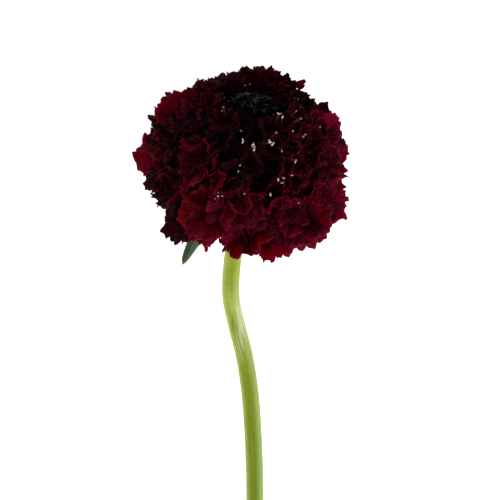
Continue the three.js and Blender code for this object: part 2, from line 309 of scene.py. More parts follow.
def vein_group():
    """Fine lines that run along V of a UV map. Out comes 1 on a vein and 0 between two."""
    tree, given, out = new_tree("veins", "ShaderNodeTree", {
        "UV": ("Vector", None),
        "Count": ("Float", 60.0),
        "Wobble": ("Float", 0.02),
        "Sharpness": ("Float", 4.0),
    }, {"Vein": ("Float", None)})
    bend = noise(tree, given["UV"], 9.0, 2.0)
    shift = maths(tree, "MULTIPLY", maths(tree, "SUBTRACT", bend, 0.5), given["Wobble"])
    across = maths(tree, "ADD", split(tree, given["UV"])["X"], shift)
    turns = maths(tree, "MULTIPLY", across, given["Count"])
    wave = maths(tree, "ABSOLUTE", maths(tree, "COSINE", maths(tree, "MULTIPLY", turns, math.pi)))
    tree.links.new(maths(tree, "POWER", wave, given["Sharpness"]), out["Vein"])
    return tree


def cloud_group():
    """A soft cloudy mask on Object coordinates, at a scale given in clouds per metre."""
    tree, given, out = new_tree("clouds", "ShaderNodeTree", {
        "Scale": ("Float", 300.0),
        "Contrast": ("Float", 2.0),
    }, {"Cloud": ("Float", None)})
    soft = noise(tree, add(tree, "ShaderNodeTexCoord").outputs["Object"], given["Scale"], 4.0)
    tree.links.new(stretch(tree, soft, given["Contrast"]), out["Cloud"])
    return tree


def streak_group():
    """Soft irregular streaks along a stalk. Around is a point on a circle, and so the pattern has no seam."""
    tree, given, out = new_tree("streaks", "ShaderNodeTree", {
        "Around": ("Vector", None),
        "Along": ("Float", 0.0),
        "Count": ("Float", 10.0),
        "Lengths": ("Float", 8.0),
        "Contrast": ("Float", 3.0),
    }, {"Streak": ("Float", None)})
    across = vectors(tree, "SCALE", given["Around"], maths(tree, "DIVIDE", given["Count"], TURN))
    down = combine(tree, 0.0, 0.0, maths(tree, "MULTIPLY", given["Along"], given["Lengths"]))
    soft = noise(tree, vectors(tree, "ADD", across, down), 1.0, 3.0)
    tree.links.new(stretch(tree, soft, given["Contrast"]), out["Streak"])
    return tree


VEINS = vein_group()
CLOUDS = cloud_group()
STREAKS = streak_group()
print("shader groups:", VEINS.name, CLOUDS.name, STREAKS.name)

# %% [markdown]
# ## Short ways to write finishes
# A material starts as a Principled shader. Its colour is mixed in layers: a first colour, then a share of
# others over it where a mask is white. What is the same all over is set on the shader itself.

# %% Helpers for materials
def new_material(name):
    material = bpy.data.materials.new(name)
    material.use_nodes = True
    return material, material.node_tree, material.node_tree.nodes["Principled BSDF"]


def group(tree, which, **values):
    """Places a shader group, and gives back its pattern."""
    return add(tree, "ShaderNodeGroup", values, node_tree=which).outputs[0]


def attribute(tree, name, output="Fac"):
    """An attribute, as a material reads it."""
    return add(tree, "ShaderNodeAttribute", attribute_name=name).outputs[output]


def uv_map(tree):
    return add(tree, "ShaderNodeUVMap", uv_map="UVMap").outputs["UV"]


def ramp(tree, mask, stops):
    """A colour ramp. stops are (position, (red, green, blue)), in linear colour from 0 to 1."""
    node = add(tree, "ShaderNodeValToRGB", {0: mask})
    elements = node.color_ramp.elements
    while len(elements) < len(stops):
        elements.new(0.5)
    for element, (place, colour) in zip(elements, stops):
        element.position = place
        element.color = (*colour, 1)
    return node.outputs["Color"]


def levels(tree, value, *stops):
    """A ramp of greys to use as a mask. stops are (position, brightness)."""
    return ramp(tree, value, [(place, (grey, grey, grey)) for place, grey in stops])


def mix(tree, mask, first, second):
    first, second = (c if isinstance(c, bpy.types.NodeSocket) else (*c, 1) for c in (first, second))
    return add(tree, "ShaderNodeMix", {0: mask, 6: first, 7: second}, data_type="RGBA").outputs[2]


def tint(tree, colour, mask, share, other):
    """Lays a share of another colour over this one where the mask is white."""
    return mix(tree, maths(tree, "MULTIPLY", mask, share), colour, other)


def bump(tree, height, strength, distance):
    node = add(tree, "ShaderNodeBump", {"Height": height, "Strength": strength, "Distance": distance})
    return node.outputs["Normal"]


def let_light_through(tree, principled, share, translucent):
    """Mixes in a share of a Translucent shader, which glows with the light from behind."""
    through = add(tree, "ShaderNodeBsdfTranslucent", translucent)
    both = add(tree, "ShaderNodeMixShader", {0: share, 1: principled.outputs[0], 2: through.outputs[0]})
    tree.links.new(both.outputs[0], tree.nodes["Material Output"].inputs["Surface"])


# %% [markdown]
# ## The petals' finish
# A scabiosa petal is dark velvet from the front and glows crimson to magenta where light comes through it.
# The first is a Principled shader with hardly any gloss, the second a Translucent shader, and they are mixed
# half and half. The UV map's V goes from the throat to the margin. Each floret also has a tone, kept in an
# attribute: a low tone is a plum that is nearly black, and a high tone an open crimson. The tone differs a
# little at random, and it also carries painted light and shade: it is higher on the side the light comes
# from and on the backlit crown, and lower towards the buds. A second attribute, the flush, turns a few
# florets from crimson to magenta. More painted light and shade lie over the colour: shade in the throats,
# a greyish sheen on the darkest florets, a lighter magenta margin where light comes through, and small pale
# glints.

# %% Petal material
# The first colour of each pair is for crimson florets, and the second for purple ones.
PETAL_DARK = ((0.011, 0.0012, 0.0018), (0.01, 0.0012, 0.006))
# This pair is a greyish painted sheen, for the darkest florets.
PETAL_PAINTED_SHEEN = ((0.028, 0.007, 0.005), (0.016, 0.006, 0.013))
PETAL_RED = ((0.175, 0.0012, 0.007), (0.19, 0.0012, 0.058))
PETAL_GLOW = ((0.8, 0.004, 0.035), (0.72, 0.006, 0.22))
LIGHT_THROUGH_PETALS = 0.5


def petal_material():
    material, tree, principled = new_material("petals")
    uv, tone, shade = uv_map(tree), attribute(tree, "tone"), attribute(tree, "shade")
    cloud, blush, fleck, grain = (
        group(tree, CLOUDS, Scale=scale, Contrast=contrast)
        for scale, contrast in ((260.0, 3.4), (120.0, 4.0), (1000.0, 5.0), (2200.0, 4.0))
    )
    vein = group(tree, VEINS, UV=uv, Count=90.0, Wobble=0.04, Sharpness=3.0)

    # Every lobe has a shade, a number from 0 to 1. It makes the lobe lighter or darker, and turns its hue.
    light = maths(tree, "MULTIPLY_ADD", maths(tree, "SUBTRACT", shade, 0.5), 0.6, tone)
    own_hue = maths(tree, "FRACT", maths(tree, "MULTIPLY", shade, 7.0))
    flush = maths(tree, "ADD", attribute(tree, "flush"), blush)
    purple = maths(tree, "ADD", maths(tree, "MULTIPLY_ADD", own_hue, 0.8, -0.55), flush, clamp=True)

    # On the darkest florets the dark colour turns greyish, as a painted sheen.
    painted_sheen_mask = levels(tree, tone, (0.05, 0.9), (0.35, 0))
    dark = mix(tree, painted_sheen_mask, mix(tree, purple, *PETAL_DARK), mix(tree, own_hue, *PETAL_PAINTED_SHEEN))
    red = tint(tree, mix(tree, purple, *PETAL_RED), cloud, 0.5, (0.05, 0.0003, 0.002))
    # The light mixes the dark colour with the red, so the painted light in the tone makes a floret lighter.
    colour = mix(tree, light, dark, red)
    # Painted shade: the colour darkens towards the throat, deep inside the floret.
    painted_throat_shade = levels(tree, attribute(tree, "depth"), (0.0, 0.9), (0.6, 0.25), (1.0, 0))
    colour = mix(tree, painted_throat_shade, colour, (0.009, 0.0012, 0.002))
    colour = tint(tree, colour, vein, 0.5, (0.005, 0.0004, 0.0015))
    colour = tint(tree, colour, fleck, 0.6, (0.012, 0.0004, 0.0025))
    # Painted backlight: the margin turns a lighter magenta, more so on lighter florets, where light comes
    # through.
    margin = levels(tree, split(tree, uv)["Y"], (0.9, 0), (1.0, 1))
    margin = maths(tree, "MULTIPLY", margin, maths(tree, "MULTIPLY_ADD", light, 0.65, 0.04))
    colour = mix(tree, margin, colour, (0.27, 0.003, 0.05))
    # Painted highlight: pale pinkish glints where the finest cloud is brightest.
    colour = tint(tree, colour, levels(tree, grain, (0.68, 0), (0.9, 1)), 0.55, (0.17, 0.03, 0.045))

    relief = maths(tree, "ADD", maths(tree, "MULTIPLY", vein, -0.4), cloud)
    normal = bump(tree, maths(tree, "MULTIPLY_ADD", grain, 0.35, relief), 0.6, 0.0004)
    fill(tree, principled, {
        "Base Color": colour, "Normal": normal, "Roughness": 0.4, "Specular IOR Level": 0.018,
    })
    glow = mix(tree, light, (0.08, 0.001, 0.02), mix(tree, purple, *PETAL_GLOW))
    glow = tint(tree, glow, vein, 0.4, (0.15, 0.001, 0.03))
    let_light_through(tree, principled, LIGHT_THROUGH_PETALS, {"Color": glow, "Normal": normal})
    return material


PETALS = petal_material()
print("material:", PETALS.name)

# %% [markdown]
# ## One floret
# A scabiosa head is a crowd of florets. Each one is a tube that opens into five frilled lobes, and the lobes
# that point away from the middle of the head are the largest. A lobe could be sculpted, but a fan of points
# that follows a formula gives clean lines for the veins, and a new draw gives a new lobe.
# The fan has columns that leave the throat at their own angle, and rows from the throat to the margin. It
# bends back as a trumpet does, tilts about its own middle so that it laps over its neighbour, and ruffles
# more and more towards the margin. There each tooth takes three columns. The first of the three is set back,
# and that parts the tooth from the one before.

# %% The lobe's formula
# Each lobe: where it points, in degrees from the outward side, and its length as a share of the longest.
LOBES = [(0, 1), (70, 0.9), (142, 0.72), (218, 0.72), (290, 0.9)]
LOBE_HALF_ANGLE = math.radians(60)
LOBE_EDGE = 0.985
LOBE_ROWS = (0.05, 0.3, 0.55, 0.76, 0.91, 1)
FLARE_START = math.radians(25)
FLARE_END = math.radians(96)
TUBE_RADIUS = 1.1 * MM
TUBE_SIDES = 8
OVAL_POWER = 4.6
SCALLOP_WIDTH = 1.9 * MM
SCALLOP_DEPTH = 0.55 * MM
TOOTH = 0.26 * MM
TOOTH_WIDTH = 1.08 * MM
TOOTH_COLUMNS = 3
TEETH_FROM, TEETH_RISE = 0.85, 0.15
# Between which two values each of these is drawn: angles in radians, the cup as a share of the length.
INWARD_BEND = (-1, -0.2)
OUTWARD_BEND = (-0.75, 0.3)
LOBE_TILT = (0.1, 0.4)
LOBE_CUP = (-0.5, 0.6)
# Each ruffle: its height as a share of the length, how late it grows, and how many waves it has.
RUFFLES = ((0.09, 1.5, 3.4), (0.12, 3, 10), (0.075, 4, 21))


def margin_of(even, across, length, random):
    """How far each column reaches: an oval with a few swells, a scalloped margin and fine blunt teeth."""
    swell, sway, start = random.uniform(0, TURN, 3)
    margin = length * (1 - np.abs(across) ** OVAL_POWER) ** 0.5
    margin *= 1 + 0.05 * np.sin(4 * even + swell) + 0.03 * np.sin(13 * even + sway)
    waves = math.pi * length / SCALLOP_WIDTH * even + start + 0.8 * np.sin(3 * even + sway)
    margin -= SCALLOP_DEPTH * (1 - np.abs(np.sin(waves))) ** 1.5
    number = np.arange(len(even))
    heights = random.uniform(0.1, 1.1, len(even))[number // TOOTH_COLUMNS]
    return margin, np.where(number % TOOTH_COLUMNS == 0, -0.8, heights) * TOOTH


def lobe_fan(centre, length, inward, random):
    """Rows of points for one lobe that leaves a throat at the origin, with the share of its reach at each."""
    columns = TOOTH_COLUMNS * round(1.8 * length / TOOTH_WIDTH) + 1
    even = np.linspace(-1, 1, columns)
    across = LOBE_EDGE * (even + np.sin(even * math.pi / 2)) / 2
    angle = across * LOBE_HALF_ANGLE
    margin, teeth = margin_of(even, across, length, random)
    bend = FLARE_END - FLARE_START + random.uniform(*(INWARD_BEND if inward else OUTWARD_BEND))
    tilt = random.choice((-1, 1)) * random.uniform(*LOBE_TILT)
    cup = random.uniform(*LOBE_CUP)
    starts = random.uniform(0, TURN, len(RUFFLES))
    out = np.array((math.cos(centre), math.sin(centre), 0))
    side = np.array((-math.sin(centre), math.cos(centre), 0))
    rows, depths = [], []
    for share in LOBE_ROWS:
        reach = margin * share + teeth * max(0, (share - TEETH_FROM) / TEETH_RISE)
        x, y = reach * np.cos(angle), reach * np.sin(angle)
        flare = FLARE_START + bend * x / length
        forward = length * (np.sin(flare) - math.sin(FLARE_START)) / bend
        outward = length * (math.cos(FLARE_START) - np.cos(flare)) / bend
        ruffle = 0
        for (high, late, waves), begin in zip(RUFFLES, starts):
            ruffle = ruffle + high * share ** late * np.sin(waves * even + begin)
        rise = y * math.sin(tilt) + cup * y ** 2 / length + ruffle * length
        rows.append(
            np.outer(TUBE_RADIUS + outward - rise * np.cos(flare), out)
            + np.outer(y * math.cos(tilt), side)
            + np.outer(forward + rise * np.sin(flare), (0, 0, 1))
        )
        depths.append(x / length)
    return np.array(rows), np.array(depths)


def floret_sheet(name, length, tube, seed):
    """One floret with its throat at the origin, its axis on Z and its longest lobe towards X."""
    random = np.random.default_rng(seed)
    points, depths, shades, faces, uv = [], [], [], [], []

    def grid(rows, depth, left, right, heights, closed):
        start, wide = len(points), rows.shape[1]
        points.extend(rows.reshape(-1, 3).tolist())
        depths.extend(depth.reshape(-1).tolist())
        shades.extend([random.uniform()] * depth.size)
        for row in range(len(rows) - 1):
            for column in range(wide if closed else wide - 1):
                following = (column + 1) % wide
                low, high = start + row * wide, start + (row + 1) * wide
                faces.append((low + column, low + following, high + following, high + column))
                first = left + (right - left) * column / wide
                last = left + (right - left) * (column + 1) / wide
                bottom, top = heights[row], heights[row + 1]
                uv.extend((first, bottom, last, bottom, last, top, first, top))

    turns = np.arange(TUBE_SIDES) / TUBE_SIDES * TURN
    ring = np.stack([np.cos(turns), np.sin(turns), 0 * turns], 1) * TUBE_RADIUS
    widths = ((-tube, 0.6), (-tube / 2, 0.7), (0, 1), (0.06 * length, 1.15))
    tube_rows = np.array([ring * width + np.array((0, 0, along)) for along, width in widths])
    grid(tube_rows, np.zeros(tube_rows.shape[:2]), 0, 1, (-1, -0.5, 0, 0.02), True)
    for number, (centre, reach) in enumerate(LOBES):
        size = length * reach * random.uniform(0.88, 1.08)
        swing = math.radians(centre + random.uniform(-8, 8))
        rows, depth = lobe_fan(swing, size, math.cos(swing) < 0, random)
        grid(rows, depth, number / len(LOBES), (number + 1) / len(LOBES), LOBE_ROWS, False)
    mesh = new_mesh(name, points, faces=faces)
    store_uv(mesh, uv)
    store(mesh, "depth", depths)
    store(mesh, "shade", shades)
    smooth(mesh)
    return mesh


# %% [markdown]
# ## A set of florets for each ring
# The outer florets are large and one-sided, and those near the middle are small. Four different florets for
# each ring are enough, because each is placed with its own turn and size, so no two look alike.
# They go into a collection that the camera never sees: a geometry tree picks from it.

# %% Florets to pick from
# Radius, height and the length of the longest lobe are in millimetres, and the tilt is in degrees. The turn
# says how far a ring is turned, as a share of the step from one floret to the next.
RINGS = [
    {"name": "outer", "count": 14, "radius": 21.2, "height": -7, "tilt": 106, "lobe": 10.8, "turn": 0.5},
    {"name": "second", "count": 12, "radius": 22.8, "height": 2, "tilt": 84, "lobe": 10.2, "turn": 0.2},
    {"name": "third", "count": 11, "radius": 21.4, "height": 10, "tilt": 62, "lobe": 7.8, "turn": 0.8},
    {"name": "fourth", "count": 10, "radius": 17.6, "height": 16.6, "tilt": 42, "lobe": 5.6, "turn": 0},
    {"name": "inner", "count": 8, "radius": 12.6, "height": 19.8, "tilt": 22, "lobe": 4.2, "turn": 0.5},
]
VARIANTS = 4
TUBE_LENGTH = 6 * MM

picks = collect("floret_templates", [
    floret_sheet(f"floret_{level}_{variant}", ring["lobe"] * MM, TUBE_LENGTH, 100 * level + variant)
    for level, ring in enumerate(RINGS) for variant in range(VARIANTS)
])

# %% [markdown]
# ## Where the florets stand
# Each ring is a circle round the head's axis. A floret's place, tilt, turn and size come from the ring, plus
# a small draw of its own. The places are kept as points with attributes, and a tree does the rest.

# %% Floret places
# The lit side is the azimuth that the light comes from: florets there are painted lighter. The ring tones
# fall towards the buds, partly the florets' own darker colour and partly painted shade.
LIT_SIDE = math.radians(55)
RING_TONES = (0.7, 0.5, 0.27, 0.14, 0.08)
PAINTED_CROWN_BACKLIGHT = 0.3
# Some places differ from their ring. Each spot: its azimuth in degrees, its height on the axis in
# millimetres, how much lighter its florets are, and how much larger. The lighter and darker spots are partly
# the florets' own colour and partly painted light and shade.
SPOTS = (
    (169, 16, 0.45, 0), (7, 16, 0.5, 0), (112, -3, 0.4, 0), (29, 0, 0.25, 0), (47, -7, 0.1, 0.06),
    (119, 12, 0.4, 0), (150, 5, -0.35, 0), (101, 13, -0.5, 0), (74, 12, -0.4, 0), (138, 3, -0.4, -0.1),
    (150, -7, -0.25, -0.42), (137, -9, 0, 0.1), (122, 2, -0.3, 0), (185, 19, 0.25, -0.1),
    (345, 18, 0, -0.3), (318, 18, 0, -0.3), (312, 22, 0, -0.3), (91, -7, 0, -0.5), (103, -8, 0.15, 0.15),
    (172, -6, -0.2, -0.25), (200, 13, 0.3, -0.14), (113, -9, 0, -0.32), (128, -10, -0.1, 0.2),
    (131, -3, 0, 0.35), (25, 8, 0.15, 0), (93, 11, -0.35, -0.35), (184, 2.5, -0.1, -0.3), (5, 3, 0, -0.15),
    (352, 9, 0, -0.3), (276, 20, 0, 0.45), (245, 20, 0, -0.25), (225, 18, 0, -0.2), (207, 16, 0, -0.35),
)
SPOT_TONE, SPOT_SIZE = 2, 3
SPOT_WIDTH = 13
SPOT_HEIGHT = 5
FULLER = 1.2
# A few florets stand out of the crowd. Some turn their faces up, away from the table, and some look outwards.
# Each has the azimuth, radius and height of its throat, then its longest lobe, its tilt away from the axis,
# the azimuth that it tilts to, the turn of its longest lobe, its tone and its flush.
STANDOUTS = (
    (177, 20.6, -0.2, 12, 38, 177, 0, 0.7, 0),
    (180, 18.9, 11.8, 10, 60, 90, -130, 0.9, 0),
    (358, 19.3, 13.2, 7.2, 52, 80, 128, 1.3, 0.8),
    (107, 25.4, -2, 10.3, 58, 92, -8, 0.95, 0),
    (49, 26.2, -1.9, 10.6, 60, 84, 8, 0.72, 0.5),
    (25, 24.2, -3.6, 8, 52, 78, 78, 0.8, 0.15),
    (82, 23.4, -9, 8.4, 56, 92, 4, 0.95, 0),
    (62, 24, -9.6, 8, 60, 88, 8, 1, 0.3),
    (275, 15.2, 19.8, 5.6, 30, 275, 0, 0.45, 0),
    (125, 22.9, -8, 9.1, 64, 105, -34, 0.25, 0),
)
# Smaller florets fill the gaps. There is one value for each ring, as for the tones above.
BETWEEN_COUNTS = (20, 32, 36, 40, 34)
BETWEEN_LIFT = (3.5, 3, 2, 0.6, -1.6)
BETWEEN_SIZE = (1, 1, 1, 0.95, 0.85)
BETWEEN_INSET, DEEP_INSET = 0.6, 1.8
BETWEEN_FIRST_DRAW = 200
BACK_TILT = 32
# Each hollow: azimuth in degrees, height, and how far it reaches either way.
HOLLOWS = ((105, 12, 15, 6), (70, 12, 10, 5))


def spot_sum(azimuth, height, which):
    """How much the spots add at a place, to its tone or to its size."""
    total = 0
    for spot in SPOTS:
        aside = ((math.degrees(azimuth) - spot[0] + 180) % 360 - 180) / SPOT_WIDTH
        total += spot[which] * math.exp(-aside ** 2 - ((height - spot[1]) / SPOT_HEIGHT) ** 2)
    return total


def tone_and_painted_light_at(level, azimuth, height):
    """Florets are darker towards the buds, partly their own colour and partly painted shade. Painted light
    makes them lighter on the side the light comes from and on the backlit far crown.
    """
    crown = PAINTED_CROWN_BACKLIGHT * max(0, -math.sin(azimuth)) if level > 1 else 0
    ring_tone = RING_TONES[level] * (1 + 0.6 * math.cos(azimuth - LIT_SIDE))
    return ring_tone + crown + spot_sum(azimuth, height, SPOT_TONE)


def fuller(level, azimuth):
    """The two lower rings reach farther out on the lit side."""
    return FULLER * math.cos(azimuth - LIT_SIDE) if level < 2 else 0


def floret_place(level, azimuth, radius, height, tilt, roll, size, tone, kind="ring", facing=None, flush=0.0):
    """One floret's place. It leans outwards, or to the facing azimuth. Azimuths are in radians, other angles
    in degrees, and lengths in millimetres."""
    return {
        "level": level,
        "azimuth": azimuth if facing is None else facing,
        "throat": head_point(radius * MM, azimuth, height * MM),
        "tilt": math.radians(tilt),
        "roll": math.radians(roll),
        "size": size,
        "tone": tone,
        "flush": flush,
        "kind": kind,
    }


def ring_places():
    """The florets of the five rings, in order, and the few that stand out."""
    places = []
    for level, ring in enumerate(RINGS):
        for k in range(ring["count"]):
            i = len(places)
            azimuth = (k + ring["turn"] + spread(i, 1, 0.2)) / ring["count"] * TURN
            radius = ring["radius"] + spread(i, 3, 1.1) + fuller(level, azimuth)
            height, tilt = ring["height"] + spread(i, 4, 0.8), ring["tilt"] + spread(i, 2, 5)
            tone = tone_and_painted_light_at(level, azimuth, height) + spread(i, 8, 0.25)
            size = 1 + spread(i, 5, 0.12) + spot_sum(azimuth, height, SPOT_SIZE)
            places.append(floret_place(level, azimuth, radius, height, tilt, spread(i, 6, 14), size, tone))
    for degrees, radius, height, lobe, tilt, facing, roll, tone, flush in STANDOUTS:
        level = min(range(len(RINGS)), key=lambda n: abs(RINGS[n]["lobe"] - lobe))
        size = lobe / RINGS[level]["lobe"]
        places.append(floret_place(level, math.radians(degrees), radius, height, tilt, roll, size, tone,
                                   facing=math.radians(facing), flush=flush))
    return places


def in_hollow(azimuth, height):
    """Two places on the front of the head have no small florets, and there one looks deep into it."""
    degrees = math.degrees(azimuth) % 360
    return any(abs(degrees - a) < wide and abs(height - h) < high for a, h, wide, high in HOLLOWS)


def between_places():
    """Smaller florets in the gaps between those of a ring, some set deep and some nearly as far out."""
    places = []
    for level, ring in enumerate(RINGS):
        for k in range(BETWEEN_COUNTS[level]):
            i = BETWEEN_FIRST_DRAW + len(places)
            deep = k % 2
            azimuth = (k + 0.3 + spread(i, 1, 0.4)) / BETWEEN_COUNTS[level] * TURN
            height = ring["height"] + BETWEEN_LIFT[level] + spread(i, 4, 1.2)
            if in_hollow(azimuth, height):
                continue
            radius = ring["radius"] - BETWEEN_INSET - DEEP_INSET * deep
            size = BETWEEN_SIZE[level] + spread(i, 5, 0.15) + spot_sum(azimuth, height, SPOT_SIZE)
            # Florets in the gaps are painted darker than their ring, and deep ones darker still: painted
            # shade.
            tone = (0.9 - 0.3 * deep) * tone_and_painted_light_at(level, azimuth, height) + spread(i, 8, 0.22)
            tilt = ring["tilt"] - 6 + spread(i, 2, 14)
            if level > 2:
                tilt -= BACK_TILT * max(0, -math.sin(azimuth))
            floret_level = min(level + 1 + deep, len(RINGS) - 1)
            places.append(floret_place(floret_level, azimuth, radius, height, tilt, spread(i, 6, 60), size,
                                       tone, "deep" if deep else "between"))
    return places


def points_mesh(name, places, variants=VARIANTS):
    """Places as the points of a mesh, with each value as an attribute."""
    mesh = new_mesh(name, [p["throat"] for p in places])
    axes = [head_direction(p["tilt"], p["azimuth"]) for p in places]
    aways = [head_direction(p["tilt"] + math.pi / 2, p["azimuth"]) for p in places]
    rolled = [
        away * math.cos(p["roll"]) + axis.cross(away) * math.sin(p["roll"])
        for p, axis, away in zip(places, axes, aways)
    ]
    for attribute_name, directions in (("axis", axes), ("away", rolled)):
        store(mesh, attribute_name, [x for v in directions for x in v], "FLOAT_VECTOR")
    for attribute_name in ("size", "tone", "flush"):
        store(mesh, attribute_name, [p[attribute_name] for p in places])
    store(mesh, "template", [p["level"] * variants + k % variants for k, p in enumerate(places)], "INT")
    return mesh


floret_places = ring_places() + between_places()
print("floret places:", len(floret_places))

# %% [markdown]
# ## The tree that plants the florets
# Instance on Points puts one floret on each point and turns it by its two directions. After Realize Instances
# the petals are plain mesh, so they can bend where they meet something: near the table their height eases out
# just above it, and beside the unopened buds they are pushed out to a small clearance.

# %% Planting tree
SURFACE = 0.3 * MM
PRESSED = 2.4 * MM
CRATER_FLOOR = 15.5 * MM
BUD_CLEARANCE = 8.2 * MM


def planting_tree():
    tree, given, out = new_tree("plant_on_points", "GeometryNodeTree", {
        "Geometry": ("Geometry", None),
        "Templates": ("Collection", None),
        "Lowest": ("Float", SURFACE),
        "Pressed below": ("Float", PRESSED),
        "Bud clearance": ("Float", BUD_CLEARANCE),
        "Crumple": ("Float", 0.0),
        "Crumples per metre": ("Float", 200.0),
        "Material": ("Material", None),
    }, {"Geometry": ("Geometry", None)})

    templates = add(tree, "GeometryNodeCollectionInfo", {
        "Collection": given["Templates"], "Separate Children": True, "Reset Children": True,
    })
    turn = add(tree, "FunctionNodeAxesToRotation", {
        "Primary Axis": named(tree, "axis", "FLOAT_VECTOR"),
        "Secondary Axis": named(tree, "away", "FLOAT_VECTOR"),
    }, primary_axis="Z", secondary_axis="X")
    planted = add(tree, "GeometryNodeInstanceOnPoints", {
        "Points": given["Geometry"],
        "Instance": templates.outputs[0],
        "Pick Instance": True,
        "Instance Index": named(tree, "template", "INT"),
        "Rotation": turn.outputs[0],
        "Scale": named(tree, "size"),
    })
    real = add(tree, "GeometryNodeRealizeInstances", {"Geometry": planted.outputs[0]}).outputs[0]

    # The petals crumple, and the more so the farther they are from the throat.
    bumps = noise(tree, position(tree), given["Crumples per metre"], 3.0, "Color")
    amount = maths(tree, "MULTIPLY", named(tree, "depth"), given["Crumple"])
    crumple = vectors(tree, "SCALE", vectors(tree, "SUBTRACT", bumps, (0.5, 0.5, 0.5)), amount)
    real = move(tree, real, Offset=crumple)

    # Whatever is too near the head's axis beside the buds is pushed straight away from it.
    from_centre = vectors(tree, "SUBTRACT", position(tree), HEAD_CENTRE)
    height = vectors(tree, "DOT_PRODUCT", from_centre, head_axis)
    sideways = vectors(tree, "SUBTRACT", from_centre, vectors(tree, "SCALE", head_axis, height))
    radius = vectors(tree, "LENGTH", sideways)
    short = maths(tree, "MAXIMUM", maths(tree, "SUBTRACT", given["Bud clearance"], radius), 0.0)
    short = maths(tree, "MULTIPLY", short, maths(tree, "GREATER_THAN", height, CRATER_FLOOR))
    push = maths(tree, "DIVIDE", short, maths(tree, "MAXIMUM", radius, 0.0001))
    clear = move(tree, real, Offset=vectors(tree, "SCALE", sideways, push))

    # Near the table the height eases out: it comes ever closer to the lowest value, but never reaches it.
    x, y, z = split(tree, position(tree))
    room = maths(tree, "SUBTRACT", given["Pressed below"], given["Lowest"])
    depth = maths(tree, "DIVIDE", maths(tree, "SUBTRACT", z, given["Pressed below"]), room)
    low = maths(tree, "EXPONENT", maths(tree, "MINIMUM", depth, 0.0))
    eased = maths(tree, "MULTIPLY_ADD", low, room, given["Lowest"])
    above = maths(tree, "MULTIPLY", maths(tree, "MAXIMUM", depth, 0.0), room)
    laid = move(tree, clear, Position=combine(tree, x, y, maths(tree, "ADD", eased, above)))
    tree.links.new(painted(tree, laid, given["Material"]), out["Geometry"])
    return tree


PLANTING = planting_tree()
print("tree:", PLANTING.name, "nodes:", len(PLANTING.nodes))

# %% [markdown]
# ## Plant the florets
# The florets of one ring and one kind become one piece. Large florets crumple in larger folds, and so the
# crumple goes by the length of the lobe. At last each sheet gets the thickness of a petal.

# %% Florets
PETAL_THICKNESS = 0.2 * MM
CRUMPLE_SHARE = 0.36
CRUMPLES_PER_LOBE = 2.2

floret_pieces = []
for level, ring in enumerate(RINGS):
    lobe = ring["lobe"] * MM
    for kind in ("ring", "between", "deep"):
        places = [p for p in floret_places if p["level"] == level and p["kind"] == kind]
        if not places:
            continue
        piece = run_tree(f"florets_{ring['name']}_{kind}", points_mesh(ring["name"], places), PLANTING, {
            "Templates": picks,
            "Material": PETALS,
            "Crumple": CRUMPLE_SHARE * lobe,
            "Crumples per metre": CRUMPLES_PER_LOBE / lobe,
        })
        thicken(piece, PETAL_THICKNESS)
        floret_pieces.append(piece)
        print(piece.name, "florets:", len(places), "triangles:", triangles(piece))

# %% [markdown]
# ## The receptacle
# Between the florets one looks into the dark middle of the head, where the tubes grow from a small dome.
# It is a profile turned round the head's axis, with a matt finish. Its nearly black colour is painted shade.

# %% Receptacle
RECEPTACLE = [(0, -6), (11, -6), (16.6, -2.9), (18.6, 3), (17.6, 8.6), (13.8, 13.8), (9.8, 16.4), (8.2, 15.5),
              (0, 15.5)]


def turned(name, profile, sides, material):
    """A closed solid turned about the head's axis. profile holds (radius, height) in millimetres."""
    profile = [(radius * MM, height * MM) for radius, height in profile]
    rows = profile[1:-1]
    points = [head_point(0, 0, profile[0][1])]
    for radius, height in rows:
        points += [head_point(radius, TURN * s / sides, height) for s in range(sides)]
    points.append(head_point(0, 0, profile[-1][1]))
    piece = new_object(name, new_mesh(name, points, faces=profile_faces(len(rows), sides)))
    piece.data.materials.append(material)
    smooth(piece.data)
    return piece


def receptacle_shade_material():
    material, tree, principled = new_material("receptacle")
    cloud = group(tree, CLOUDS, Scale=700.0, Contrast=3.0)
    fill(tree, principled, {
        # Nearly black with a cloudy variation: painted shade for the deep middle of the head.
        "Base Color": ramp(tree, cloud, [(0.0, (0.003, 0.001, 0.002)), (1.0, (0.014, 0.003, 0.006))]),
        "Normal": bump(tree, cloud, 0.8, 0.0006), "Roughness": 0.85, "Specular IOR Level": 0.15,
    })
    return material


receptacle = turned("receptacle", RECEPTACLE, 48, receptacle_shade_material())
print("receptacle triangles:", triangles(receptacle))

# %% [markdown]
# ## The unopened buds
# The florets open from the rim inwards. In the middle a disc of closed buds is left, nearly black, each with
# a small grey glint painted round its tip, stronger on some than others: a painted highlight. They sit in
# the spiral that sunflowers and pine cones share: each bud is turned by the golden angle from the one
# before, and its distance grows with the square root of its number.
# The same tree plants them: only the points and the shape to pick are others.

# %% Bud material
def bud_material():
    material, tree, principled = new_material("unopened_buds")
    cloud = group(tree, CLOUDS, Scale=500.0, Contrast=5.0)
    skin = mix(tree, cloud, (0.0008, 0.0005, 0.0006), (0.002, 0.001, 0.0014))
    # Painted highlight: a pale grey glint on the ring of points marked as the tip, where the cloud is bright.
    tip = maths(tree, "POWER", attribute(tree, "tip"), 2.0)
    painted_glint = maths(tree, "MULTIPLY", tip, maths(tree, "POWER", cloud, 3.0))
    fill(tree, principled, {
        "Base Color": mix(tree, painted_glint, skin, (0.15, 0.12, 0.14)),
        "Normal": bump(tree, cloud, 0.5, 0.0002), "Roughness": 0.25, "Specular IOR Level": 0.015,
    })
    return material


# %% Bud disc
BUD_DISC = [(0, 15.8), (7.1, 15.8), (7.6, 17.9), (5.8, 19.3), (2.6, 20.0), (0, 20.2)]
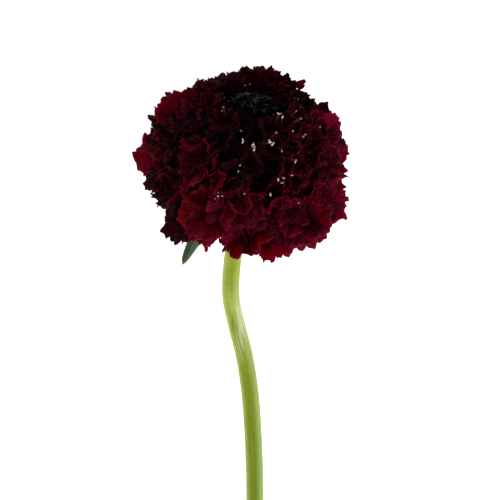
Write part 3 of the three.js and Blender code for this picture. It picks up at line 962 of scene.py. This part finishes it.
# The outline of one bud from its base to its tip: shares of its radius, and of half its length.
BUD_PROFILE = [(0.55, -1.0), (1.0, -0.2), (1.0, 0.35), (0.72, 0.85), (0.3, 1.08)]
# The height of the ring that gets the painted glint, as a share of half the bud's length.
BUD_GLINT_HEIGHT = 0.85
BUD_SIDES = 10
BUD_COUNT = 96
BUD_RADIUS = 0.8 * MM
BUD_LENGTH = 1.9 * MM
BUD_SPREAD = 7.4 * MM
BUD_TOP = 20.5 * MM
BUD_DROP = 1.9 * MM
GOLDEN_ANGLE = math.pi * (3 - math.sqrt(5))


def bud_template():
    """One closed bud: five tiny lobes folded to a blunt point."""
    points = [Vector((0, 0, -0.9 * BUD_LENGTH / 2))]
    for radius, height in BUD_PROFILE:
        for s in range(BUD_SIDES):
            grooved = radius * BUD_RADIUS * (1 if s % 2 else 0.8)
            turn = TURN * s / BUD_SIDES
            x, y = grooved * math.cos(turn), grooved * math.sin(turn)
            points.append(Vector((x, y, height * BUD_LENGTH / 2)))
    points.append(Vector((0, 0, 0.95 * BUD_LENGTH / 2)))
    mesh = new_mesh("bud", points, faces=profile_faces(len(BUD_PROFILE), BUD_SIDES))
    rim = BUD_GLINT_HEIGHT * BUD_LENGTH / 2
    store(mesh, "tip", [float(abs(p.z - rim) < 0.05 * MM) for p in points])
    smooth(mesh)
    return mesh


def bud_places():
    """The same values as for a floret. Buds far from the middle lean out and are a little smaller."""
    places = []
    for k in range(BUD_COUNT):
        share = math.sqrt((k + 0.5) / BUD_COUNT)
        azimuth = k * GOLDEN_ANGLE
        places.append({
            "level": 0,
            "azimuth": azimuth,
            "tilt": math.radians(48) * share ** 2 + spread(k, 34, 0.35),
            "roll": draw(k, 31) * TURN,
            "throat": head_point(BUD_SPREAD * share, azimuth, BUD_TOP - BUD_DROP * share ** 2),
            "size": 1.0 - 0.12 * share + spread(k, 32, 0.26),
            "tone": draw(k, 33),
            "flush": 0.0,
        })
    return places


BUDS = bud_material()
disc = turned("bud_disc", BUD_DISC, 40, BUDS)
bud_picks = collect("bud_templates", [bud_template()])
buds = run_tree("closed_buds", points_mesh("buds", bud_places(), variants=1), PLANTING, {
    "Templates": bud_picks, "Material": BUDS, "Bud clearance": 0.0,
})
print("buds:", BUD_COUNT, "triangles:", triangles(buds))

# %% [markdown]
# ## The stamens
# Pale anthers stand out of the front of the head on thin filaments, one to four together. Each group belongs
# to one small floret, so its filaments start at one root. The paths are drawn as edges of a mesh: the tree
# turns them into tubes and sets an anther on each tip.

# %% Stamen tree
def stamen_tree():
    tree, given, out = new_tree("stamens", "GeometryNodeTree", {
        "Geometry": ("Geometry", None),
        "Filament radius": ("Float", 0.11 * MM),
        "Anther length": ("Float", 1.05 * MM),
        "Filament": ("Material", None),
        "Anther": ("Material", None),
    }, {"Geometry": ("Geometry", None)})
    path = add(tree, "GeometryNodeMeshToCurve", {"Mesh": given["Geometry"]})
    circle = add(tree, "GeometryNodeCurvePrimitiveCircle", {
        "Resolution": 6, "Radius": given["Filament radius"],
    })
    tube = add(tree, "GeometryNodeCurveToMesh", {
        "Curve": path.outputs[0], "Profile Curve": circle.outputs[0], "Fill Caps": True,
    })

    # An anther is a small sphere, pressed flat and grooved along its middle.
    grain = add(tree, "GeometryNodeMeshUVSphere", {"Segments": 10, "Rings": 8, "Radius": 0.5})
    x, y, z = split(tree, position(tree))
    groove = maths(tree, "MULTIPLY_ADD", maths(tree, "ABSOLUTE", x), 0.5, 0.22)
    flat = combine(tree, maths(tree, "MULTIPLY", x, 0.5), maths(tree, "MULTIPLY", y, groove), z)
    grain = move(tree, grain.outputs[0], Position=flat)

    tip = named(tree, "tip")
    lie = named(tree, "lie", "FLOAT_VECTOR")
    turn = add(tree, "FunctionNodeAlignRotationToVector", {"Vector": lie}, axis="Z")
    points = add(tree, "GeometryNodeMeshToPoints", {
        "Mesh": given["Geometry"], "Selection": maths(tree, "GREATER_THAN", tip, 0.1),
    })
    anthers = add(tree, "GeometryNodeInstanceOnPoints", {
        "Points": points.outputs[0], "Instance": grain, "Rotation": turn.outputs[0],
        "Scale": maths(tree, "MULTIPLY", given["Anther length"], tip),
    })
    both = add(tree, "GeometryNodeJoinGeometry")
    for part, finish in ((tube, "Filament"), (anthers, "Anther")):
        tree.links.new(painted(tree, part.outputs[0], given[finish]), both.inputs[0])
    real = add(tree, "GeometryNodeRealizeInstances", {"Geometry": both.outputs[0]})
    even = add(tree, "GeometryNodeSetShadeSmooth", {"Geometry": real.outputs[0], "Shade Smooth": True})
    tree.links.new(even.outputs[0], out["Geometry"])
    return tree


# %% Stamen finishes
def stamen_material(name, light, dark, roughness):
    material, tree, principled = new_material(name)
    cloud = group(tree, CLOUDS, Scale=1500.0, Contrast=2.5)
    fill(tree, principled, {
        "Base Color": mix(tree, cloud, light, dark),
        "Normal": bump(tree, cloud, 0.4, 0.0001), "Roughness": roughness,
    })
    return material


# %% Stamens
# Each group: azimuth in degrees, radius and height of its anthers, how many there are, and their size.
STAMENS = ((94, 21.2, 20.6, 2, 0.8), (86, 22.6, 19.2, 4, 1), (72, 21.7, 20.2, 4, 1), (66, 18.9, 22, 1, 0.6),
           (51, 19.4, 22, 1, 0.7), (43, 21.8, 20.4, 2, 0.6), (53, 13.4, 24, 3, 0.9), (29, 14, 24, 1, 0.5),
           (64, 23, 18.8, 1, 0.6), (55, 25.2, 15.4, 2, 0.7), (58, 27, 12, 1, 0.8), (67, 27.4, 11.8, 4, 0.9),
           (94, 26.1, 14, 2, 0.6), (101, 28.7, 6, 3, 0.7), (103, 28.2, 3.6, 1, 0.6), (86, 28.4, 7.6, 1, 0.5),
           (74, 28.5, 7.2, 1, 1), (63, 28.9, 5.3, 1, 0.9), (55, 29.1, 4.3, 1, 0.9), (128, 12.8, 23.4, 2, 0.5),
           (35, 17, 23, 2, 0.4), (20, 20, 20, 1, 0.4), (98, 17, 21.5, 1, 0.5), (252, 8.6, 20.8, 3, 0.45),
           (184, 8.9, 20.8, 3, 0.3), (168, 8.9, 20.6, 2, 0.3), (349, 12.6, 21.8, 2, 0.3),
           (5, 14, 21.5, 1, 0.35))
FILAMENT_STEPS = 5
ANTHER_SPREAD = 0.9 * MM
# Where a group's root is, as shares of its anthers' radius and height, with the least and the greatest value.
ROOT_RADIUS_SHARE, ROOT_RADIUS_LEAST = 0.58, 11
ROOT_HEIGHT_SHARE, ROOT_HEIGHT_MOST = 0.75, 13.5


def aside(i, first):
    """A repeatable small vector, from three draws."""
    return Vector([spread(i, first + axis, 1) for axis in range(3)])


def stamen_paths():
    points, edges, tips, lies = [], [], [], []
    for number, (degrees, radius, height, anthers, size) in enumerate(STAMENS):
        azimuth = math.radians(degrees)
        root_radius = max(ROOT_RADIUS_SHARE * radius, ROOT_RADIUS_LEAST) * MM
        root_height = min(ROOT_HEIGHT_SHARE * height, ROOT_HEIGHT_MOST) * MM
        root = head_point(root_radius, azimuth, root_height)
        for k in range(anthers):
            i = 10 * number + k
            tip = head_point(radius * MM, azimuth, height * MM) + aside(i, 42) * ANTHER_SPREAD
            bow = aside(i, 45) * MM
            for step in range(FILAMENT_STEPS + 1):
                share = step / FILAMENT_STEPS
                if step:
                    edges.append((len(points) - 1, len(points)))
                points.append(root.lerp(tip, share) + bow * math.sin(math.pi * share))
                tips.append(size if step == FILAMENT_STEPS else 0.0)
                lies += [spread(i, 48, 1), spread(i, 49, 1), spread(i, 50, 0.5)]
    mesh = new_mesh("stamen_paths", points, edges)
    store(mesh, "tip", tips)
    store(mesh, "lie", lies, "FLOAT_VECTOR")
    return mesh


stamens = run_tree("stamens", stamen_paths(), stamen_tree(), {
    "Filament": stamen_material("filament", (0.2, 0.02, 0.04), (0.06, 0.004, 0.012), 0.4),
    "Anther": stamen_material("anther", (0.78, 0.7, 0.6), (0.42, 0.3, 0.22), 0.6),
})
print("stamen groups:", len(STAMENS), "triangles:", triangles(stamens))

# %% [markdown]
# ## The bracts
# Under the head sits a green collar with ten narrow leaves. A bract is a lance shape folded along its midrib.
# It could be drawn by hand, but a few rows of points, whose width follows one curve, bend more evenly.

# %% Bract material
def leaf_material():
    material, tree, principled = new_material("bracts")
    uv = uv_map(tree)
    cloud = group(tree, CLOUDS, Scale=420.0, Contrast=2.0)
    vein = group(tree, VEINS, UV=uv, Count=14.0, Wobble=0.05, Sharpness=6.0)
    from_rib = maths(tree, "ABSOLUTE", maths(tree, "SUBTRACT", split(tree, uv)["X"], 0.5))
    rib = maths(tree, "LESS_THAN", from_rib, 0.05)
    edge = maths(tree, "GREATER_THAN", from_rib, 0.455)
    green = mix(tree, cloud, (0.04, 0.08, 0.034), (0.1, 0.155, 0.075))
    green = tint(tree, green, vein, 0.35, (0.19, 0.26, 0.15))
    green = tint(tree, green, rib, 0.5, (0.2, 0.28, 0.14))
    green = tint(tree, green, edge, 0.5, (0.2, 0.23, 0.14))
    relief = maths(tree, "ADD", vein, cloud)
    fill(tree, principled, {
        "Base Color": green, "Normal": bump(tree, relief, 0.4, 0.0002), "Roughness": 0.6,
    })
    let_light_through(tree, principled, 0.2, {"Color": (0.2, 0.35, 0.06, 1)})
    return material


# %% Bracts
# Lengths are in millimetres where no MM stands behind them, and spreads are degrees from the stem.
COLLAR_TOP = -6.3
COLLAR = [(0, COLLAR_TOP - 2.4), (3.3, COLLAR_TOP - 2.4), (5, COLLAR_TOP - 2), (6.6, COLLAR_TOP - 0.8),
          (7.2, COLLAR_TOP - 0.1), (0, COLLAR_TOP)]
BRACT_COUNT = 10
BRACT_WIDTH = 4.2 * MM
BRACT_LENGTH = 20
BRACT_SPREAD = 66
BRACT_CURL = math.radians(22)
HANGING_BRACT = 3
HANGING_LENGTH = 26.8
HANGING_SPREAD = 46
BRACT_ROWS = 22
BRACT_COLUMNS = 8
BRACT_THICKNESS = 0.35 * MM
BRACT_LOWEST = 0.4 * MM
BRACT_TIP_HALF = 0.05 * MM


def bract_sheet(azimuth, length, spread_angle, number):
    """Points and faces of one bract, folded along its midrib and a little waved."""
    across = head_direction(math.pi / 2, azimuth + math.pi / 2)
    fold = head_direction(math.pi / 2 - spread_angle, azimuth)
    rib = head_point(3.7 * MM, azimuth, (COLLAR_TOP - 1.2) * MM)
    points = []
    for row in range(BRACT_ROWS + 1):
        share = row / BRACT_ROWS
        if row:
            way = head_direction(math.pi - spread_angle + BRACT_CURL * (share - 0.5), azimuth)
            rib = rib + way * (length / BRACT_ROWS)
        # The half width grows from the base, stays level, and closes to the tip.
        growing, closing = min(1, 0.55 + 1.6 * share), min(1, 1.9 * (1 - share) ** 0.5)
        half = BRACT_WIDTH / 2 * growing * closing + BRACT_TIP_HALF
        for column in range(BRACT_COLUMNS + 1):
            side = 2 * column / BRACT_COLUMNS - 1
            wave = 0.07 * math.sin(9 * share + 2.5 * side + number) * share
            point = rib + across * (side * half) + fold * (half * (0.42 * abs(side) ** 1.3 + wave))
            point.z = max(point.z, BRACT_LOWEST)
            points.append(point)
    wide = BRACT_COLUMNS + 1
    faces, uv = [], []
    for row in range(BRACT_ROWS):
        for column in range(BRACT_COLUMNS):
            first = row * wide + column
            faces.append((first, first + 1, first + wide + 1, first + wide))
            left, right = column / BRACT_COLUMNS, (column + 1) / BRACT_COLUMNS
            low, high = row / BRACT_ROWS, (row + 1) / BRACT_ROWS
            uv += [left, low, right, low, right, high, left, high]
    return points, faces, uv


def bract_piece():
    points, faces, uv = [], [], []
    for k in range(BRACT_COUNT):
        azimuth = (k + 0.56) / BRACT_COUNT * TURN
        length, angle = BRACT_LENGTH + spread(k, 21, 2.5), BRACT_SPREAD + spread(k, 22, 8)
        if k == HANGING_BRACT:
            length, angle = HANGING_LENGTH, HANGING_SPREAD
        more_points, more_faces, more_uv = bract_sheet(azimuth, length * MM, math.radians(angle), k)
        faces += [tuple(v + len(points) for v in face) for face in more_faces]
        points += more_points
        uv += more_uv
    piece = new_object("bract_leaves", new_mesh("bract_leaves", points, faces=faces))
    store_uv(piece.data, uv)
    thicken(piece, BRACT_THICKNESS)
    piece.data.materials.append(LEAVES)
    smooth(piece.data)
    return piece


LEAVES = leaf_material()
bracts = bract_piece()
collar = turned("bract_collar", COLLAR, 40, LEAVES)
print("bracts:", BRACT_COUNT, "triangles:", triangles(bracts))

# %% [markdown]
# ## The stem
# The stem leaves the head along its axis, sweeps down to the table and lies along it. A curve through a few
# points is its path. The tree gives the curve its thickness, with a flare under the head, sweeps a ribbed
# ring along it, closes both ends and keeps the underside on the table.

# %% Stem path
STEM_END = (3.2, -102.9, 2.3)
STEM_POINTS = [
    head_point(0, 0, -9 * MM),
    head_point(0, 0, -14 * MM),
    *(Vector(p) * MM for p in (
        (-2.6, 51.7, 12.4),
        (-3.7, 42.5, 7.4),
        (-3.7, 34.5, 4.3),
        (-2, 26.3, 2.7),
        (0.2, 17.6, 2.3),
        (1.9, 6.5, 2.3),
        (2.8, -5, 2.3),
        (3.3, -18, 2.3),
        (3.4, -33.3, 2.3),
        (2.9, -57.3, 2.3),
        (2.7, -81.3, 2.3),
        STEM_END,
    )),
]
STEM_STEPS = 12


def smooth_path(points, steps):
    """A centripetal Catmull-Rom curve through the points, with steps between each two."""
    path = [2 * points[0] - points[1], *points, 2 * points[-1] - points[-2]]
    result = []
    for before, start, end, after in zip(path, path[1:], path[2:], path[3:]):
        pairs = ((before, start), (start, end), (end, after))
        first, middle, last = ((b - a).length ** 0.5 for a, b in pairs)
        chord = (end - start) / middle
        leave = ((start - before) / first - (end - before) / (first + middle) + chord) * middle
        arrive = (chord - (after - start) / (middle + last) + (after - end) / last) * middle
        for step in range(steps):
            t = step / steps
            bend = (2 * start - 2 * end + leave + arrive) * t ** 3
            turn = (3 * end - 3 * start - 2 * leave - arrive) * t ** 2
            result.append(start + leave * t + turn + bend)
    return [*result, points[-1]]


def path_curve(name, points):
    curve = bpy.data.curves.new(name, "CURVE")
    curve.dimensions = "3D"
    spline = curve.splines.new("POLY")
    spline.points.add(len(points) - 1)
    spline.points.foreach_set("co", [x for p in points for x in (*p, 1)])
    return curve


# %% Stem tree
def stem_tree():
    tree, given, out = new_tree("ribbed_stem", "GeometryNodeTree", {
        "Geometry": ("Geometry", None),
        "Radius": ("Float", 2.55 * MM),
        "Flare": ("Float", 0.8 * MM),
        "Flare growth": ("Float", -40.0),
        "Rib": ("Float", 0.022),
        "Ribs": ("Float", 6.0),
        "Fine rib": ("Float", 0.006),
        "Fine ribs": ("Float", 17.0),
        "Sides": ("Int", 80),
        "Material": ("Material", None),
    }, {"Geometry": ("Geometry", None)})
    along = add(tree, "GeometryNodeSplineParameter").outputs["Factor"]
    fall = maths(tree, "EXPONENT", maths(tree, "MULTIPLY", along, given["Flare growth"]))
    radius = maths(tree, "MULTIPLY_ADD", given["Flare"], fall, given["Radius"])
    marked = add(tree, "GeometryNodeStoreNamedAttribute", {
        "Geometry": given["Geometry"], "Name": "along", "Value": along,
    }, data_type="FLOAT", domain="POINT")

    # The ring: a circle with broad ribs and fine ones. It keeps its plain circle as the attribute around.
    circle = add(tree, "GeometryNodeCurvePrimitiveCircle", {"Resolution": given["Sides"], "Radius": 1.0})
    turn = maths(tree, "MULTIPLY", add(tree, "GeometryNodeSplineParameter").outputs["Factor"], TURN)
    broad, fine = (
        maths(tree, "COSINE", maths(tree, "MULTIPLY", turn, given[count])) for count in ("Ribs", "Fine ribs")
    )
    broad = maths(tree, "MULTIPLY", broad, given["Rib"])
    swell = maths(tree, "ADD", maths(tree, "MULTIPLY_ADD", fine, given["Fine rib"], broad), 1.0)
    place = position(tree)
    ring = add(tree, "GeometryNodeStoreNamedAttribute", {
        "Geometry": circle.outputs[0], "Name": "around", "Value": place,
    }, data_type="FLOAT_VECTOR", domain="POINT")
    ring = move(tree, ring.outputs[0], Position=vectors(tree, "SCALE", place, swell))

    swept = add(tree, "GeometryNodeCurveToMesh", {
        "Curve": marked.outputs[0], "Profile Curve": ring, "Scale": radius, "Fill Caps": True,
    })
    laid = keep_above(tree, swept.outputs[0], 0.0)
    even = add(tree, "GeometryNodeSetShadeSmooth", {"Geometry": laid, "Shade Smooth": True})
    tree.links.new(painted(tree, even.outputs[0], given["Material"]), out["Geometry"])
    return tree


# %% [markdown]
# ## The stem's finish
# The green runs from yellow under the head over a pale bend to a deeper green, which a ramp on the share of
# the path gives. The pale bend is partly the stem's own colour and partly a painted highlight. Streaks and
# clouds lie over it. One side is painted darker under the head and lighter from the bend on, as light and
# shade fall, and the other side is yellower. Four places have a patch of their own: a painted highlight, a
# brown scar, and at the cut end the pith with its hole, whose dark middle is painted shade. Fine down on the
# skin makes the rim paler. That is sheen, and the shader sees to it: a colour that looked where the camera
# stands would slide over the stem in other views.

# %% Stem material
# Each patch: its middle and its half sizes. The shine is a painted highlight, and the pith's hole is
# painted shade.
SCAR = (Vector((-3.4, 27.6, 4.6)) * MM, Vector((0.7, 5.5, 4)) * MM)
PAINTED_SHINE = (Vector((-0.9, 27.5, 5.2)) * MM, Vector((2.1, 13, 4)) * MM)
PITH = (Vector(STEM_END) * MM, Vector((2.4, 0.05, 2.4)) * MM)
PAINTED_PITH_HOLE = (Vector(STEM_END) * MM, Vector((0.7, 0.05, 0.7)) * MM)
# Colours by the share of the path, from the head to the cut end. The pale stops about the bend are partly
# a painted highlight.
STEM_GREENS = [
    (0.0, (0.36, 0.41, 0.035)),
    (0.11, (0.36, 0.42, 0.03)),
    (0.175, (0.4, 0.45, 0.05)),
    (0.228, (0.52, 0.58, 0.12)),
    (0.28, (0.5, 0.58, 0.11)),
    (0.33, (0.34, 0.42, 0.03)),
    (0.38, (0.25, 0.34, 0.008)),
    (0.45, (0.2, 0.29, 0.005)),
    (1.0, (0.15, 0.25, 0.005)),
]
# Painted light and shade for one side: a little darker under the head, and lighter from the bend on.
SIDE_LIGHT_AND_SHADE_GREENS = [
    (0.16, (0.22, 0.3, 0.02)),
    (0.24, (0.55, 0.62, 0.34)),
    (0.36, (0.42, 0.52, 0.24)),
    (1.0, (0.32, 0.43, 0.16)),
]


def patch(tree, where, ragged):
    """A soft patch with a ragged edge. where holds its middle and its half sizes."""
    middle, half_sizes = where
    place = add(tree, "ShaderNodeTexCoord").outputs["Object"]
    shares = vectors(tree, "DIVIDE", vectors(tree, "SUBTRACT", place, middle), half_sizes)
    away = maths(tree, "MULTIPLY_ADD", ragged, 0.8, vectors(tree, "LENGTH", shares))
    return levels(tree, away, (0.6, 1), (1.0, 0))


def stem_material():
    material, tree, principled = new_material("stem")
    around, along = attribute(tree, "around", "Vector"), attribute(tree, "along")
    cloud = group(tree, CLOUDS, Scale=160.0, Contrast=2.6)
    mottle = group(tree, CLOUDS, Scale=700.0, Contrast=3.0)
    broad = group(tree, STREAKS, Around=around, Along=along, Count=9.0, Lengths=12.0, Contrast=6.0)
    fine = group(tree, STREAKS, Around=around, Along=along, Count=34.0, Lengths=14.0, Contrast=4.0)
    side = maths(tree, "MULTIPLY_ADD", split(tree, around)["X"], 0.5, 0.5)
    # Painted light and shade on one side of the stem. The other side is yellower.
    side_light_and_shade = levels(tree, side, (0.02, 1), (0.4, 0))
    yellow = levels(tree, side, (0.55, 0), (0.98, 1))

    green = ramp(tree, along, STEM_GREENS)
    for mask, share, colour in (
        (broad, 0.45, (0.15, 0.24, 0.006)),
        (cloud, 0.25, (0.22, 0.3, 0.015)),
        (fine, 0.16, (0.44, 0.52, 0.07)),
        (mottle, 0.25, (0.12, 0.19, 0.008)),
        (patch(tree, PAINTED_SHINE, fine), 0.75, (0.66, 0.72, 0.44)),
        (patch(tree, SCAR, mottle), 0.7, (0.25, 0.17, 0.03)),
        (side_light_and_shade, 0.4, ramp(tree, along, SIDE_LIGHT_AND_SHADE_GREENS)),
        (yellow, 0.4, (0.42, 0.44, 0.05)),
    ):
        green = tint(tree, green, mask, share, colour)
    green = mix(tree, patch(tree, PITH, 0.0), green, (0.42, 0.48, 0.2))
    # The pith's hole is a dark disc of painted shade on the flat end.
    green = mix(tree, patch(tree, PAINTED_PITH_HOLE, 0.0), green, (0.05, 0.07, 0.02))
    relief = maths(tree, "MULTIPLY_ADD", mottle, 0.3, fine)
    fill(tree, principled, {
        "Base Color": green,
        "Normal": bump(tree, relief, 0.25, 0.0002),
        "Roughness": 0.42,
        "Specular IOR Level": 0.16,
        "Sheen Weight": 0.35,
        "Sheen Roughness": 0.4,
        "Sheen Tint": (0.9, 0.95, 0.7, 1),
        "Subsurface Weight": 0.15,
        "Subsurface Radius": (0.6, 1.0, 0.2),
        "Subsurface Scale": 0.001,
    })
    return material


stem_path = path_curve("stem_path", smooth_path(STEM_POINTS, STEM_STEPS))
stem = run_tree("stem_skin", stem_path, stem_tree(), {"Material": stem_material()})
print("stem triangles:", triangles(stem))

# %% [markdown]
# ## Hairs
# Stem and bracts carry short white hairs. Points are strewn over a mesh and each gets a thin cone that leans
# a little to one side. A particle system could do the same, but only real mesh is kept when the model is
# exported. The cones have few sides, because there are hundreds of them.

# %% Hair tree
def hair_tree():
    tree, given, out = new_tree("hairs", "GeometryNodeTree", {
        "Geometry": ("Geometry", None),
        "Hairs per square metre": ("Float", 500000.0),
        "Length": ("Float", 0.5 * MM),
        "Thickness": ("Float", 0.025 * MM),
        "Seed": ("Int", 4),
        "Material": ("Material", None),
    }, {"Geometry": ("Geometry", None)})
    strewn = add(tree, "GeometryNodeDistributePointsOnFaces", {
        "Mesh": given["Geometry"], "Density": given["Hairs per square metre"], "Seed": given["Seed"],
    })
    lean = vectors(tree, "SUBTRACT", noise(tree, position(tree), 1500.0, 2.0, "Color"), (0.5, 0.5, 0.5))
    way = vectors(tree, "ADD", strewn.outputs["Normal"], vectors(tree, "SCALE", lean, 3.0))
    turn = add(tree, "FunctionNodeAlignRotationToVector", {"Vector": way}, axis="Z")
    cone = add(tree, "GeometryNodeMeshCone", {
        "Vertices": 3, "Radius Top": 0.0, "Radius Bottom": given["Thickness"], "Depth": given["Length"],
    })
    planted = add(tree, "GeometryNodeInstanceOnPoints", {
        "Points": strewn.outputs["Points"], "Instance": cone.outputs[0], "Rotation": turn.outputs[0],
    })
    real = add(tree, "GeometryNodeRealizeInstances", {"Geometry": planted.outputs[0]})
    laid = keep_above(tree, real.outputs[0], 0.02 * MM)
    tree.links.new(painted(tree, laid, given["Material"]), out["Geometry"])
    return tree


def hair_material():
    material, tree, principled = new_material("hairs")
    cloud = group(tree, CLOUDS, Scale=800.0, Contrast=2.0)
    fill(tree, principled, {
        "Base Color": mix(tree, cloud, (0.5, 0.56, 0.36), (0.7, 0.74, 0.6)), "Roughness": 0.5,
    })
    return material


# %% Hairs
HAIRS, HAIR_FINISH = hair_tree(), hair_material()
stem_hairs = run_tree("stem_hairs", stem.data, HAIRS, {"Material": HAIR_FINISH})
bract_hairs = run_tree("bract_hairs", bracts.data, HAIRS, {
    "Hairs per square metre": 900000.0, "Length": 0.35 * MM, "Material": HAIR_FINISH,
})
print("hairs, triangles:", triangles(stem_hairs), triangles(bract_hairs))

# %% [markdown]
# ## Each piece replaces a solid
# A piece that replaces a solid hides it. All of them move with the one body.

# %% Ride and replace
for template in [*picks.objects, *bud_picks.objects]:
    bpy.data.objects.remove(template)
for piece in [*floret_pieces, receptacle, stamens]:
    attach(piece, "root")
    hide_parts("bloom")
for piece in (disc, buds):
    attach(piece, "root")
    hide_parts("unopened_buds")
for piece in (bracts, collar, bract_hairs):
    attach(piece, "root")
    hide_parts("bracts")
for piece in (stem, stem_hairs):
    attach(piece, "root")
    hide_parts("stem")

# %% [markdown]
# ## The table
# It glows a little, as a light table does, so that the petals at the rim are lit from behind too.

# %% Table
TABLE_HALF = 3.0
TABLE_DROP = 0.05 * MM


def table_material():
    """White and plain, and a little brighter than the light that falls on it."""
    material, tree, principled = new_material("table")
    fill(tree, principled, {
        "Base Color": (0.86, 0.86, 0.86, 1), "Roughness": 0.9,
        "Emission Color": (1, 1, 1, 1), "Emission Strength": 0.75,
    })
    return material


square = ((-1, -1), (1, -1), (1, 1), (-1, 1))
table_points = [(x * TABLE_HALF, y * TABLE_HALF, -TABLE_DROP) for x, y in square]
table = new_object("table", new_mesh("table", table_points, faces=[(0, 1, 2, 3)]))
table.data.materials.append(table_material())

# %% [markdown]
# ## Lights
# Two lights from the sides model the stem, and a weak one from above fills in. They are area lights, because
# a large light throws a soft shadow, and each is turned to look at the flower. The sky is a grey gradient,
# but the camera itself sees it white, so that nothing dark shows past the table's edge.

# %% Lights
FLOWER_MIDDLE = Vector((0, 0.05, 0.02))


def soft_light(name, place, size, power):
    light = bpy.data.lights.new(name, "AREA")
    light.size = size
    light.energy = power
    holder = new_object(name, light)
    holder.location = place
    holder.rotation_euler = (FLOWER_MIDDLE - Vector(place)).to_track_quat("-Z", "Y").to_euler()


soft_light("left_light", (-0.7, 0.1, 0.3), 0.4, 3.0)
soft_light("right_light", (0.6, -0.45, 0.45), 0.4, 7.0)
soft_light("top_light", (0.1, -0.3, 0.9), 0.5, 1.0)

world = bpy.data.worlds.new("studio")
world.use_nodes = True
bpy.context.scene.world = world
sky = world.node_tree
way_up = split(sky, add(sky, "ShaderNodeTexCoord").outputs["Generated"])["Z"]
gradient = levels(sky, way_up, (0.0, 1), (0.35, 0.5), (1.0, 0.1))
seen = add(sky, "ShaderNodeLightPath").outputs["Is Camera Ray"]
fill(sky, sky.nodes["Background"], {"Color": mix(sky, seen, gradient, (2, 2, 2)), "Strength": 0.5})

# %% [markdown]
# ## The camera
# A long lens from far above keeps the near petals from looking larger than those farther down.

# %% Camera
CAMERA_PLACE = (0.0019, 0.0495, 0.628)
CAMERA_LENS = 149

camera = new_object("camera", bpy.data.cameras.new("camera"))
camera.data.lens = CAMERA_LENS
camera.location = CAMERA_PLACE
bpy.context.scene.camera = camera
bpy.context.scene.view_settings.view_transform = "Standard"
print("camera:", CAMERA_PLACE, "lens:", CAMERA_LENS)
